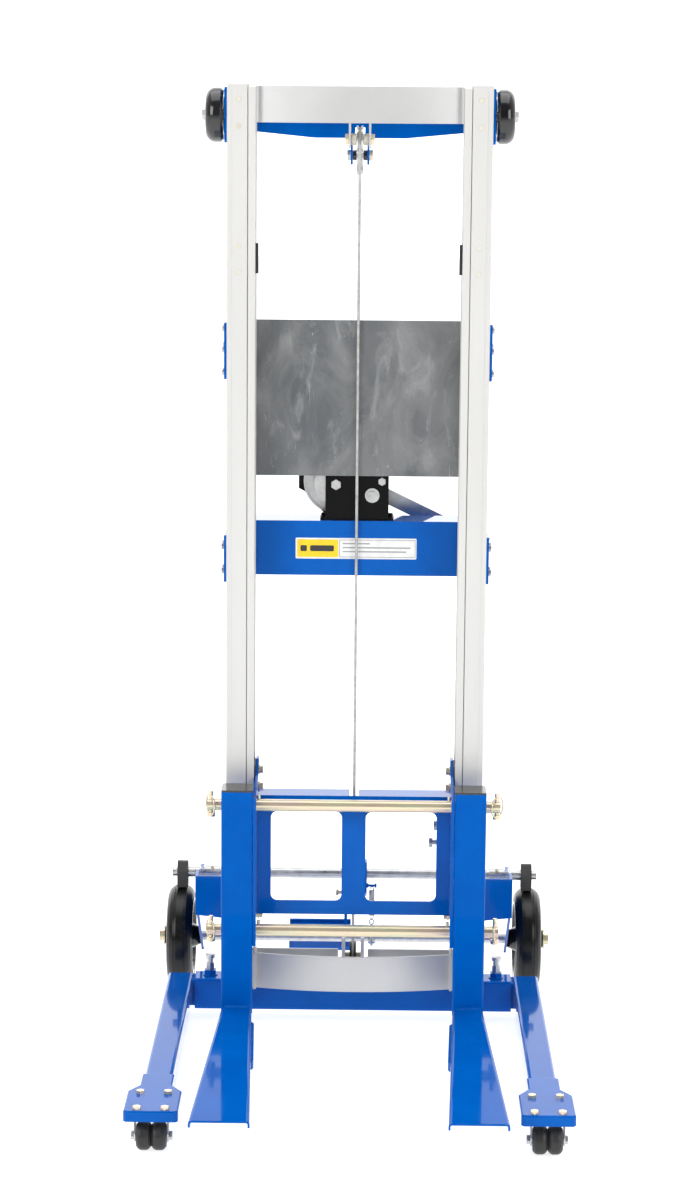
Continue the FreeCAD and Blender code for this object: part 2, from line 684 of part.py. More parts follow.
def blade_solid(inset, back, tip, zs, bend):
    """Solid under the blade's plan, narrow at the heel, its two long top edges rounded."""
    plan = [(FORK_X[0] + 1 + inset, back), (FORK_X[1] - 1 - inset, back),
            (FORK_TIP_OUT - inset, tip), (FORK_TIP_IN + inset, tip)]
    solid = prism_z(plan, zs[0], zs[1])
    edges = []
    for edge in solid.Edges:
        ends = [vertex.Point for vertex in edge.Vertexes]
        on_top = all(abs(point.z - zs[1]) < 0.01 for point in ends)
        if on_top and abs(ends[0].y - ends[1].y) > 100:
            edges.append(edge)
    return solid.makeFillet(bend, edges)


def blade_rib():
    """Flat bar welded along the blade's inner edge near the heel."""
    start, end = FORK_RIB_Y
    plan = [(blade_edge_x(start) + 1, start), (blade_edge_x(end) + 1, end),
            (blade_edge_x(end) - 2, end), (blade_edge_x(end + 9) - FORK_RIB_T, end + 9),
            (blade_edge_x(start - 9) - FORK_RIB_T, start - 9), (blade_edge_x(start) - 2, start)]
    return prism_z(plan, BLADE_TOP - FORK_SKIRT - 10, BLADE_TOP - FORK_BEND_R)


def fork_cap():
    x0, x1 = FORK_X
    ys = (FORK_FRONT, FORK_FRONT + FORK_TUBE_DEPTH)
    top = FORK_TUBE_TOP
    lid = round_edges(box(FORK_X, ys, (top, top + 3.5)), Z_AXIS, 5.0)
    inset = FORK_WALL + 0.2
    plug = box((x0 + inset, x1 - inset), (ys[0] + inset, ys[1] - inset), (top - 6.0, top))
    return fuse([lid, plug])


# ---------------------------------------------------------------- base

def base_beam():
    outer = round_edges(box((-BEAM_HALF, BEAM_HALF), BEAM_Y, BEAM_Z), X_AXIS, 5.0)
    inner = box((-BEAM_HALF - 1, BEAM_HALF + 1), (BEAM_Y[0] + BEAM_WALL, BEAM_Y[1] - BEAM_WALL),
                (BEAM_Z[0] + BEAM_WALL, BEAM_Z[1] - BEAM_WALL))
    holes = []
    for sign in (-1, 1):
        holes.append(rod(vec(sign * PLUNGER_X, sum(BEAM_Y) / 2, BEAM_Z[1] - 6), Z_AXIS, 8.0,
                         PLUNGER_R + 0.1))
    return cut(outer, [inner] + holes)


def axle_bracket():
    """Blue weldment: side plate for axle and brake shaft, front plate, and two mast gussets."""
    x0, x1 = BRACKET_X
    low, high = BRACKET_Z
    profile = [(BEAM_Y[0], low), (BEAM_Y[0] + 30, low), (AXLE_Y - 24, 84.0), (AXLE_Y - 16, 77.0),
               (AXLE_Y - 5, 74.0), (AXLE_Y + 5, 74.0), (AXLE_Y + 16, 78.0), (AXLE_Y + 24, 88.0),
               (AXLE_Y + 24, 236.0), (AXLE_Y + 12, 247.0), (AXLE_Y - 20, 247.0), (BEAM_Y[0] + 50, high),
               (BEAM_Y[0], high)]
    side = prism_x(profile, x0, x1)
    front = prism_y([(BRACKET_IN, BRACKET_LOW_IN), (x1, low), (x1, high), (BRACKET_IN, high)],
                    BEAM_Y[0], BEAM_Y[0] + 4)
    gussets = []
    for x in (BRACKET_IN, RAIL_OUT - 4):
        points = [(MAST_BACK, 24.0), (BEAM_Y[0], 24.0), (BEAM_Y[0], low), (BEAM_Y[0] + 4, low),
                  (BEAM_Y[0] + 4, high), (MAST_BACK, 240.0)]
        gussets.append(prism_x(points, x, x + 4))
    holes = [rod(vec(x0 - 1, AXLE_Y, WHEEL_R), X_AXIS, 8.0, AXLE_R + RUN_GAP),
             rod(vec(x0 - 1, AXLE_Y, BRAKE_Z), X_AXIS, 8.0, BRAKE_R + RUN_GAP)]
    return cut(fuse([side, front] + gussets), holes)


def axle():
    return rod(vec(-HUB_X[1], AXLE_Y, WHEEL_R), X_AXIS, 2 * HUB_X[1], AXLE_R)


def axle_fasteners():
    """Washer and bolt head that keep each rear wheel on."""
    centre = vec(HUB_X[1] + 0.3, AXLE_Y, WHEEL_R)
    washer = rod(centre, X_AXIS, 2.7, 20.0)
    head = hexagon(centre + X_AXIS * 2.7, X_AXIS, 19.0, AXLE_END - HUB_X[1] - 3.0)
    pad = rod(vec(HUB_X[1], AXLE_Y, WHEEL_R), X_AXIS, 0.3, AXLE_R)
    return both_sides(fuse([pad, washer, head]))


def tyre():
    """Solid tyre with rounded shoulders and two moulded seam lines."""
    x0, x1 = WHEEL_X
    y, z, r = AXLE_Y, WHEEL_R, WHEEL_R
    half = [(x0 + 12, 73.0), (x0 + 2, 76.0), (x0, 84.0), (x0 + 2.5, 91.0), (x0 + 7, 96.5), (x0 + 13, r - 1.2),
            (x0 + 19, r), (x1 - 19, r), (x1 - 13, r - 1.2), (x1 - 7, 96.5), (x1 - 2.5, 91.0), (x1, 84.0),
            (x1 - 2, 76.0), (x1 - 12, 73.0)]
    profile = face([vec(x, y, z + h) for x, h in half])
    body = profile.revolve(vec(0, y, z), X_AXIS, 360)
    grooves = []
    for x in (x0 + 14.5, x1 - 15.5):
        grooves.append(tube(vec(x, y, z), X_AXIS, 1.0, r + 1, r - 1.8))
    return cut(body, grooves)


def rim():
    """Moulded disc with a rim on each side of the tyre and a long hub."""
    x0, x1 = WHEEL_X
    y, z = AXLE_Y, WHEEL_R
    bore = AXLE_R + RUN_GAP
    half = [(x0 + 12, 73.0), (x0 + 2, 76.0), (x0, 76.0), (x0, 71.0), (x0 + 14, 66.0), (x0 + 16, 30.0),
            (x0 + 2, 24.0), (HUB_X[0], HUB_R), (HUB_X[0], bore), (HUB_X[1], bore), (HUB_X[1], HUB_R),
            (x1 - 2, 24.0), (x1 - 16, 30.0), (x1 - 14, 66.0), (x1, 71.0), (x1, 76.0), (x1 - 2, 76.0),
            (x1 - 12, 73.0)]
    profile = face([vec(x, y, z + h) for x, h in half])
    return profile.revolve(vec(0, y, z), X_AXIS, 360)


def load_wheel():
    """Solid nylon wheel with a flat tread, a domed outer face and a dished hub."""
    x0, x1 = LOAD_WHEEL_X
    y, z, r = LOAD_WHEEL_Y, LOAD_WHEEL_Z, LOAD_WHEEL_R
    bore = LOAD_BOLT_R + RUN_GAP

    def spot(x, h):
        return vec(x, y, z + h)
    straight = [(x0 + 6, bore), (x0 + 6, 30.0), (x0, 33.0), (x0, r - 6), (x0 + 5, r), (x0 + 15, r)]
    hub = [(x1, 24.0), (x1 - 3, 20.0), (x1 - 3, bore), (x0 + 6, bore)]
    lines = []
    for run in (straight, hub):
        for start, end in zip(run, run[1:]):
            lines.append(Part.LineSegment(spot(*start), spot(*end)).toShape())
    turn = math.radians(DOME_TURN)
    middle = spot(x0 + 15 + DOME_R * math.sin(turn), r - DOME_R * (1 - math.cos(turn)))
    dome = Part.Arc(spot(x0 + 15, r), middle, spot(x1, 24.0)).toShape()
    profile = Part.Face(Part.Wire(lines[:5] + [dome] + lines[5:]))
    return profile.revolve(vec(0, y, z), X_AXIS, 360)


def load_wheel_bolt():
    start = vec(SIDE_PLATE_OUT, LOAD_WHEEL_Y, LOAD_WHEEL_Z)
    length = LOAD_WHEEL_X[1] + 0.5 - SIDE_PLATE_OUT
    shank = rod(start, X_AXIS, length, LOAD_BOLT_R)
    collar = rod(start, X_AXIS, LOAD_WHEEL_X[0] - 0.5 - SIDE_PLATE_OUT, 10.0)
    head = hexagon(start + X_AXIS * length, X_AXIS, 19.0, 8.0)
    return fuse([shank, collar, head])


def leg():
    """Side leg: tube, telescoping stub and the pan that carries the caster."""
    x0, x1 = LEG_X
    ys = (LEG_FRONT, BEAM_Y[1])
    outer = round_edges(box(LEG_X, ys, LEG_Z), Y_AXIS, 6.0)
    inner = box((x0 + 3, x1 - 3), (ys[0] - 1, ys[1] - 3), (LEG_Z[0] + 3, LEG_Z[1] - 3))
    stub = box((STUB_END, x0 + 1), STUB_Y, LEG_Z)
    bore = box((STUB_END - 1, x0 - 4), (STUB_Y[0] + STUB_WALL, STUB_Y[1] - STUB_WALL),
               (LEG_Z[0] + STUB_WALL, LEG_Z[1] - STUB_WALL))
    slot_end = PLUNGER_X + PLUNGER_R + 0.5
    slot_start = PLUNGER_X - LEG_TRAVEL - PLUNGER_R - 0.5
    middle = sum(STUB_Y) / 2
    slot = box((slot_start, slot_end), (middle - PLUNGER_R - 0.5, middle + PLUNGER_R + 0.5),
               (LEG_Z[1] - STUB_WALL - 1, LEG_Z[1] + 1))
    return fuse([outer.cut(inner), cut(stub, [bore, slot]), pan()])


def pan_outline(grow):
    """Plan of the caster pan: wide in front, necked down to the leg behind."""
    wide = PAN_HALF + grow
    neck = PAN_NECK + grow
    front = PAN_FRONT - grow
    c = CASTER_X
    return [(c - wide + 5, front), (c + wide - 5, front), (c + wide, front + 5), (c + wide, -366.0),
            (c + neck, -336.0), (c + neck, -277.0), (c - neck, -277.0), (c - neck, -336.0),
            (c - wide, -366.0), (c - wide, front + 5)]


def pan():
    """Pressed pan with rounded upper edges."""
    block = prism_z(pan_outline(0.0), PAN_TOP - PAN_SKIRT, PAN_TOP)
    block = round_edges(block, Z_AXIS, PAN_ROUND - 1.0)
    rims = [edge for edge in block.Edges if edge.BoundBox.ZMin > PAN_TOP - 0.01]
    block = block.makeFillet(PAN_ROUND - 2.0, rims)
    inside = prism_z(pan_outline(-PAN_T), PAN_TOP - PAN_SKIRT - 1, LEG_Z[1])
    clear = box((CASTER_X - PAN_NECK + PAN_T, CASTER_X + PAN_NECK - PAN_T), (-278.0 - PAN_T, -270.0), LEG_Z)
    return cut(block, [inside, clear])


def caster_bolt_spots():
    spots = []
    for dx in (-CASTER_BOLT_DX, CASTER_BOLT_DX):
        for dy in (-CASTER_BOLT_DY, CASTER_BOLT_DY):
            spots.append((CASTER_X + dx, CASTER_Y + dy))
    return spots


def caster_mount():
    """Caster top plate under the pan, with a bolt head above and a nut below at each corner."""
    under = LEG_Z[1]
    plate = box((CASTER_X - 34, CASTER_X + 34), (CASTER_Y - 46, CASTER_Y + 46), (under - 3, under))
    race = rod(vec(CASTER_X, CASTER_Y, under - 5), Z_AXIS, 2.0, 27.0)
    pieces = [fuse([round_edges(plate, Z_AXIS, 8.0), race])]
    for x, y in caster_bolt_spots():
        pieces.append(hexagon(vec(x, y, PAN_TOP), Z_AXIS, 13.0, 5.5))
        pieces.append(hexagon(vec(x, y, under - 3), -Z_AXIS, 13.0, 5.0))
    return pieces


def caster_fork():
    """Swivelling fork: crown under the ball race, two cheeks and the axle bolt."""
    crown_top = LEG_Z[1] - 5.3
    axle_y = CASTER_Y + CASTER_TRAIL
    inner = CASTER_TREAD + 2.0
    crown = rod(vec(CASTER_X, CASTER_Y, crown_top - 4), Z_AXIS, 4.0, 27.0)
    bridge = box((CASTER_X - inner - 2.5, CASTER_X + inner + 2.5), (axle_y, CASTER_Y + 10),
                 (crown_top - 4, crown_top - 1))
    profile = [(CASTER_Y + 10, crown_top - 1), (axle_y, crown_top - 1), (axle_y - 11, CASTER_R + 6),
               (axle_y - 7, CASTER_R - 9), (axle_y + 7, CASTER_R - 9), (axle_y + 12, CASTER_R + 4)]
    cheek = prism_x(profile, CASTER_X + inner, CASTER_X + inner + 2.5)
    other = prism_x(profile, CASTER_X - inner - 2.5, CASTER_X - inner)
    bolt = rod(vec(CASTER_X - inner - 2.5, axle_y, CASTER_R), X_AXIS, 2 * inner + 5, 4.0)
    head = hexagon(vec(CASTER_X + inner + 2.5, axle_y, CASTER_R), X_AXIS, 13.0, 5.0)
    nut = hexagon(vec(CASTER_X - inner - 2.5, axle_y, CASTER_R), -X_AXIS, 13.0, 6.0)
    return fuse([crown, bridge, cheek, other, bolt, head, nut])


def caster_wheels():
    """Twin wheels with a shared hub sleeve."""
    axle_y = CASTER_Y + CASTER_TRAIL
    wheels = []
    for x0 in (CASTER_X - CASTER_TREAD - 0.5, CASTER_X + 0.5):
        x1 = x0 + CASTER_TREAD
        half = [(x0, 4.05), (x0, 19.0), (x0 + 4, CASTER_R - 1.5), (x0 + 8, CASTER_R),
                (x1 - 8, CASTER_R), (x1 - 4, CASTER_R - 1.5), (x1, 19.0), (x1, 4.05)]
        profile = face([vec(x, axle_y, CASTER_R + h) for x, h in half])
        wheels.append(profile.revolve(vec(0, axle_y, CASTER_R), X_AXIS, 360))
    sleeve = tube(vec(CASTER_X - 1, axle_y, CASTER_R), X_AXIS, 2.0, 8.0, 4.05)
    return fuse(wheels + [sleeve])


def plunger():
    """Spring plunger: pin through the beam into the stub's slot, with a pull knob."""
    middle = sum(BEAM_Y) / 2
    pin = rod(vec(PLUNGER_X, middle, 73.0), Z_AXIS, 44.0, PLUNGER_R)
    neck = rod(vec(PLUNGER_X, middle, 107.0), Z_AXIS, 10.0, 6.3)
    knob = rod(vec(PLUNGER_X, middle, 115.0), Z_AXIS, 8.0, 9.5)
    return fuse([pin, neck, knob.makeFillet(2.5, knob.Edges[:1])])


def plunger_housing():
    """Wide nut welded on the beam with the slimmer hexagon sleeve screwed into it."""
    middle = sum(BEAM_Y) / 2
    base = vec(PLUNGER_X, middle, BEAM_Z[1])
    body = fuse([rod(base, Z_AXIS, 2.0, 14.0), hexagon(base, Z_AXIS, 22.0, 11.0), hexagon(base, Z_AXIS, 15.0, 25.0)])
    return body.cut(rod(base, Z_AXIS, 30.0, PLUNGER_R + RUN_GAP))


# ---------------------------------------------------------------- brake

def brake_shaft():
    """Cross shaft that carries both shoes, with a sleeve and a retaining ring at each side."""
    bar = rod(vec(-SHOE_X[1], AXLE_Y, BRAKE_Z), X_AXIS, 2 * SHOE_X[1], BRAKE_R)
    pieces = [bar]
    sleeve = rod(vec(SHAFT_SLEEVE_X[0], AXLE_Y, BRAKE_Z), X_AXIS, SHAFT_SLEEVE_X[1] - SHAFT_SLEEVE_X[0], 13.5)
    screw = rod(vec(sum(SHAFT_SLEEVE_X) / 2, AXLE_Y, BRAKE_Z + 3), vec(0, -0.8, 0.6), 15.0, 3.2)
    ring = rod(vec(SHAFT_RING_X[0], AXLE_Y, BRAKE_Z), X_AXIS, SHAFT_RING_X[1] - SHAFT_RING_X[0], 17.5)
    end = rod(vec(SHOE_X[1], AXLE_Y, BRAKE_Z), X_AXIS, 10.0, SHAFT_END_R)
    for shape in (sleeve, screw, ring, end):
        pieces += both_sides(shape)
    return fuse(pieces)


def brake_pedal():
    """Lever and pedal arm clamped on the shaft; the arm carries an open tread frame behind."""
    hub = tube(vec(PEDAL_ARM_X[0], AXLE_Y, BRAKE_Z), X_AXIS, LEVER_X[1] - PEDAL_ARM_X[0],
               BRAKE_R + 5, BRAKE_R)
    near_y, near_z = PEDAL_NEAR
    far_y, far_z = PEDAL_FAR
    arm_profile = [(AXLE_Y - 12, BRAKE_Z + 12), (AXLE_Y + 14, BRAKE_Z + 12), (AXLE_Y + 62, 170.0),
                   (far_y - 6, far_z + 6), (near_y, near_z + 6), (near_y, near_z + 12),
                   (AXLE_Y + 40, 160.0), (AXLE_Y - 12, BRAKE_Z - 14)]
    arm = prism_x(arm_profile, PEDAL_ARM_X[0], PEDAL_ARM_X[1])
    slope = math.atan2(far_z - near_z, far_y - near_y)
    depth = math.hypot(far_z - near_z, far_y - near_y)
    xs = (PEDAL_X[0], PEDAL_X[1])
    plate = box(xs, (0.0, depth), (0.0, PEDAL_T))
    opening = box((xs[0] + PEDAL_RIM, xs[1] - PEDAL_RIM), (PEDAL_RIM, depth - PEDAL_RIM), (-1.0, PEDAL_T + 1))
    far_lip = box(xs, (depth - PEDAL_T, depth), (0.0, PEDAL_LIP))
    near_lip = box(xs, (0.0, PEDAL_T), (-PEDAL_LIP, PEDAL_T))
    side_lip = box((xs[0], xs[0] + PEDAL_T), (0.0, depth), (0.0, PEDAL_LIP - 2))
    bar = box(xs, (depth / 2 - 5, depth / 2 + 5), (0.0, PEDAL_T))
    tread = fuse([plate.cut(opening), far_lip, near_lip, side_lip, bar])
    tread.rotate(vec(0, 0, 0), X_AXIS, math.degrees(slope))
    tread.translate(vec(0, near_y, near_z))
    lever_profile = [(AXLE_Y - 13, BRAKE_Z + 26), (AXLE_Y + 13, BRAKE_Z + 26), (AXLE_Y + 13, BRAKE_Z - 14),
                     (AXLE_Y - 22, BRAKE_Z - 40), (AXLE_Y - 38, BRAKE_Z - 30), (AXLE_Y - 38, BRAKE_Z - 8)]
    bore = rod(vec(LEVER_X[0] - 1, AXLE_Y, BRAKE_Z), X_AXIS, LEVER_X[1] - LEVER_X[0] + 2, BRAKE_R)
    lever = prism_x(lever_profile, LEVER_X[0], LEVER_X[1]).cut(bore)
    arm = arm.cut(rod(vec(PEDAL_ARM_X[0] - 1, AXLE_Y, BRAKE_Z), X_AXIS, 10.0, BRAKE_R))
    hook = rod(vec(LEVER_X[1] - 1, SPRING_Y, SPRING_HOOK_Z), X_AXIS, HOOK_END_X - LEVER_X[1] + 1,
               SPRING_HOOK_R)
    heads = [hexagon(vec(HOOK_END_X, SPRING_Y, SPRING_HOOK_Z), -X_AXIS, 8.0, 3.5),
             hexagon(vec(LEVER_X[1] - 0.5, SPRING_Y, SPRING_HOOK_Z), X_AXIS, 8.0, 4.0)]
    return fuse([hub, arm, tread, lever, hook] + heads)


def brake_shoe():
    profile = [(AXLE_Y - SHOE_HALF, SHOE_BOTTOM), (AXLE_Y + SHOE_HALF, SHOE_BOTTOM),
               (AXLE_Y + SHOE_HALF, BRAKE_Z + 4), (AXLE_Y + 6, SHOE_TOP), (AXLE_Y - 6, SHOE_TOP),
               (AXLE_Y - SHOE_HALF, BRAKE_Z + 4)]
    shoe = prism_x(profile, SHOE_X[0], SHOE_X[1])
    return shoe.cut(rod(vec(SHOE_X[0] - 1, AXLE_Y, BRAKE_Z), X_AXIS, 30.0, BRAKE_R + 0.03))


def brake_spring():
    """Return spring between the lever's hook screw and the eye bolt below it."""
    low = EYE_Z + EYE_R + EYE_WIRE_R
    high = SPRING_HOOK_Z - SPRING_HOOK_R
    coil = tube(vec(SPRING_X, SPRING_Y, low + SPRING_END), Z_AXIS, high - low - 2 * SPRING_END, 5.9, 4.2)
    ends = []
    for z0, z1 in ((low, low + SPRING_END + 0.5), (high - SPRING_END - 0.5, high)):
        ends.append(box((SPRING_X - 4.8, SPRING_X - 3.4), (SPRING_Y - 0.7, SPRING_Y + 0.7), (z0, z1)))
        ends.append(box((SPRING_X - 4.8, SPRING_X + 0.7), (SPRING_Y - 0.7, SPRING_Y + 0.7),
                        (z0 if z0 == low else z1 - 1.4, z0 + 1.4 if z0 == low else z1)))
    return fuse([coil] + ends)


def spring_tab():
    """Clamp on the axle with the eye bolt that holds the spring's lower end."""
    collar = tube(vec(SPRING_X - 7, AXLE_Y, WHEEL_R), X_AXIS, 14.0, AXLE_R + 4, AXLE_R + 0.03)
    arm = box((SPRING_X - 7, SPRING_X + 7), (SPRING_Y - 7, AXLE_Y - AXLE_R - 1),
              (WHEEL_R - SPRING_TAB_HALF, WHEEL_R + SPRING_TAB_HALF))
    stem = rod(vec(SPRING_X, SPRING_Y, EYE_STEM_Z), Z_AXIS, EYE_Z - EYE_R - EYE_STEM_Z, 2.5)
    nut = hexagon(vec(SPRING_X, SPRING_Y, WHEEL_R - SPRING_TAB_HALF - 4), Z_AXIS, 8.0, 4.0)
    eye = Part.makeTorus(EYE_R, EYE_WIRE_R, vec(SPRING_X, SPRING_Y, EYE_Z), Y_AXIS)
    return fuse([collar, arm, stem, nut, eye])


# ---------------------------------------------------------------- winch

def gear_outline(cx, cz, teeth, phase):
    """Trapezoid teeth around a pitch circle, thinned a little for backlash."""
    pitch_r = GEAR_MODULE * teeth / 2
    root = pitch_r - 1.2 * GEAR_MODULE
    tip = pitch_r + 0.9 * GEAR_MODULE
    step = 2 * math.pi / teeth
    points = []
    for index in range(teeth):
        middle = phase + index * step
        for radius, share in ((root, -0.31), (tip, -0.11), (tip, 0.11), (root, 0.31)):
            angle = middle + share * step
            points.append((cx + radius * math.cos(angle), cz + radius * math.sin(angle)))
    return points


def drum():
    """Rope drum: small front collar, wide rimmed flange behind, and the large gear on its back."""
    y0, y1 = DRUM_Y
    centre = vec(DRUM_X, 0, DRUM_Z)
    core = rod(centre + Y_AXIS * y0, Y_AXIS, GEAR_Y[1] - y0, DRUM_CORE_R)
    collar = rod(centre + Y_AXIS * y0, Y_AXIS, 2.5, DRUM_COLLAR_R)
    flange = rod(centre + Y_AXIS * (y1 - 1.5), Y_AXIS, 1.5, DRUM_FLANGE_R)
    rim = tube(centre + Y_AXIS * (y1 - 4.0), Y_AXIS, 4.0, DRUM_FLANGE_R, DRUM_FLANGE_R - DRUM_RIM_W)
    toward = math.atan2(CRANK_Z - DRUM_Z, CRANK_X - DRUM_X)
    outline = gear_outline(DRUM_X, DRUM_Z, GEAR_TEETH, toward)
    gear = prism_y(outline, GEAR_Y[0], GEAR_Y[1])
    holes = [rod(centre + Y_AXIS * (y0 - 1), Y_AXIS, 60.0, SHAFT_R + RUN_GAP)]
    return cut(fuse([core, collar, flange, rim, gear]), holes)


def crank():
    """Pinion shaft, folded flat crank arm and grip spindle."""
    centre = vec(CRANK_X, 0, CRANK_Z)
    shaft = rod(centre + Y_AXIS * 188.0, Y_AXIS, CRANK_ARM_Y - 188.0 + CRANK_ARM_T, SHAFT_R)
    toward = math.atan2(DRUM_Z - CRANK_Z, DRUM_X - CRANK_X)
    half_step = math.pi / PINION_TEETH
    outline = gear_outline(CRANK_X, CRANK_Z, PINION_TEETH, toward + half_step)
    pinion = prism_y(outline, GEAR_Y[0], GEAR_Y[1])
    boss = rod(centre + Y_AXIS * 191.0, Y_AXIS, FRAME_FRONT - 191.5, 13.5)
    nut = hexagon(centre + Y_AXIS * (CRANK_ARM_Y + CRANK_ARM_T), Y_AXIS, 24.0, 9.0)
    hub = rod(centre + Y_AXIS * (FRAME_REAR + FRAME_T + 2), Y_AXIS, CRANK_ARM_Y - FRAME_REAR - FRAME_T - 2, 14)
    swing = crank_arm()
    swing.rotate(vec(0, 0, 0), Y_AXIS, -CRANK_ANGLE)
    swing.translate(centre)
    return fuse([shaft, pinion, boss, nut, hub, swing])


def crank_arm():
    """Flat strip folded back once, with the spindle for the grip at its end; drawn along +X."""
    near, far = CRANK_ARM_Y, CRANK_ARM_Y + CRANK_ARM_T
    end = CRANK_ARM_LENGTH + 13
    strip = prism_z([(-15.0, near), (CRANK_FOLD, near), (end, near + CRANK_FOLD_RISE),
                     (end, far + CRANK_FOLD_RISE), (CRANK_FOLD, far), (-15.0, far)],
                    -CRANK_ARM_WIDTH / 2, CRANK_ARM_WIDTH / 2)
    spindle = rod(vec(CRANK_ARM_LENGTH, near + CRANK_FOLD_RISE - 2, 0), Y_AXIS,
                  CRANK_ARM_T + GRIP_LENGTH + 10, 5.0)
    cap = rod(vec(CRANK_ARM_LENGTH, far + CRANK_FOLD_RISE + GRIP_LENGTH + 3, 0), Y_AXIS, 5.0, 9.0)
    return strip.multiFuse([spindle, cap])


def grip_centre():
    angle = math.radians(CRANK_ANGLE)
    return vec(CRANK_X + CRANK_ARM_LENGTH * math.cos(angle), 0, CRANK_Z + CRANK_ARM_LENGTH * math.sin(angle))


def crank_grip():
    start = CRANK_ARM_Y + CRANK_ARM_T + CRANK_FOLD_RISE + 1.0
    half = [(5.05, 0.0), (12.0, 0.0), (GRIP_R, 8.0), (GRIP_R - 1, 55.0), (GRIP_R, 92.0), (11.0, 101.0),
            (5.05, 101.0)]
    base = grip_centre()
    profile = face([vec(base.x + r, start + h, base.z) for r, h in half])
    return profile.revolve(base, Y_AXIS, 360)


def winch_frame():
    """Black pressed frame: base with feet, two bearing plates and the two foot bolts."""
    x0, x1 = FRAME_X
    z0 = WINCH_BEAM_Z[1]
    floor = box((x0 - FRAME_FOOT, x1 + FRAME_FOOT), (FRAME_FRONT, FRAME_REAR + FRAME_T), (z0, z0 + FRAME_T))
    floor = round_edges(floor, Z_AXIS, 6.0)
    top = [(x1, 1076.0), (52.0, 1086.0), (-4.0, FRAME_TOP), (-50.0, FRAME_TOP), (x0, 1096.0)]
    front = prism_y([(x0, z0), (x1, z0)] + top, FRAME_FRONT, FRAME_FRONT + FRAME_T)
    rear = prism_y([(x0, z0), (x1, z0)] + top + list(reversed(FRAME_WING)), FRAME_REAR, FRAME_REAR + FRAME_T)
    bores = [rod(vec(CRANK_X, FRAME_FRONT - 1, CRANK_Z), Y_AXIS, 80.0, SHAFT_R + RUN_GAP),
             rod(vec(DRUM_X, FRAME_FRONT - 1, DRUM_Z), Y_AXIS, 80.0, 8.05)]
    pieces = [cut(fuse([floor, front, rear]), bores)]
    for x in (x0 - 2.5, x1 + 2.5):
        pieces.append(bolt_head(vec(x, 222.0, z0 + FRAME_T), Z_AXIS, 10.0, 6.0, False))
    return pieces


def drum_axle():
    """Bolt the drum turns on."""
    start = vec(DRUM_X, FRAME_FRONT - 1.0, DRUM_Z)
    shank = rod(start, Y_AXIS, FRAME_REAR + FRAME_T + 2 - FRAME_FRONT, SHAFT_R)
    head = hexagon(start, -Y_AXIS, 17.0, 7.0)
    nut = hexagon(start + Y_AXIS * (FRAME_REAR + FRAME_T + 2 - FRAME_FRONT), Y_AXIS, 17.0, 8.0)
    return fuse([shank, head, nut])


def winch_fasteners():
    """Drum axle and the tie bolt beside the gears."""
    tie = rod(vec(46.0, FRAME_FRONT + FRAME_T, 1062.0), Y_AXIS, GEAR_Y[0] - FRAME_FRONT - FRAME_T - 1, 4.0)
    pieces = [drum_axle(), tie]
    pieces.append(bolt_head(vec(46.0, FRAME_FRONT, 1062.0), -Y_AXIS, 13.0, 6.0, False))
    return pieces


def mast_lock_bolts():
    """Angle behind the right rail with the two bolts that pin the inner mast for transport."""
    z0, z1 = LOCK_Z
    foot = box((LOCK_X, RAIL_OUT), (MAST_BACK, MAST_BACK + 4), (z0, z1))
    ear = box((LOCK_X, LOCK_X + 4), (MAST_BACK, MAST_BACK + 30), (z0, z1))
    pieces = [fuse([foot, ear])]
    for z, end in LOCK_BOLTS:
        start = vec(end, LOCK_BOLT_Y, z)
        shank = rod(start, X_AXIS, LOCK_X - end, 5.0)
        nut = hexagon(vec(LOCK_X, LOCK_BOLT_Y, z), -X_AXIS, 17.0, 8.0)
        pieces.append(fuse([hexagon(start, X_AXIS, 17.0, 6.5), shank, nut]))
    return pieces


def frame_fasteners():
    pieces = []
    for head in side_plate_bolts():
        pieces += both_sides(head)
    pieces += both_sides(load_wheel_bolt())
    pieces += axle_fasteners() + winch_fasteners()
    pieces.append(sheave_bolt(OUTER_TOP_Y, OUTER_TOP_Z, 17.0))
    pieces += both_sides(rod(vec(PAD_X, MAST_Y + RAIL_WALL, 99.0), Y_AXIS, RAIL_DEPTH - 2 * RAIL_WALL, 5.5))
    pieces.append(spring_tab())
    pieces += both_sides(plunger_housing())
    pieces += mast_lock_bolts()
    return pieces


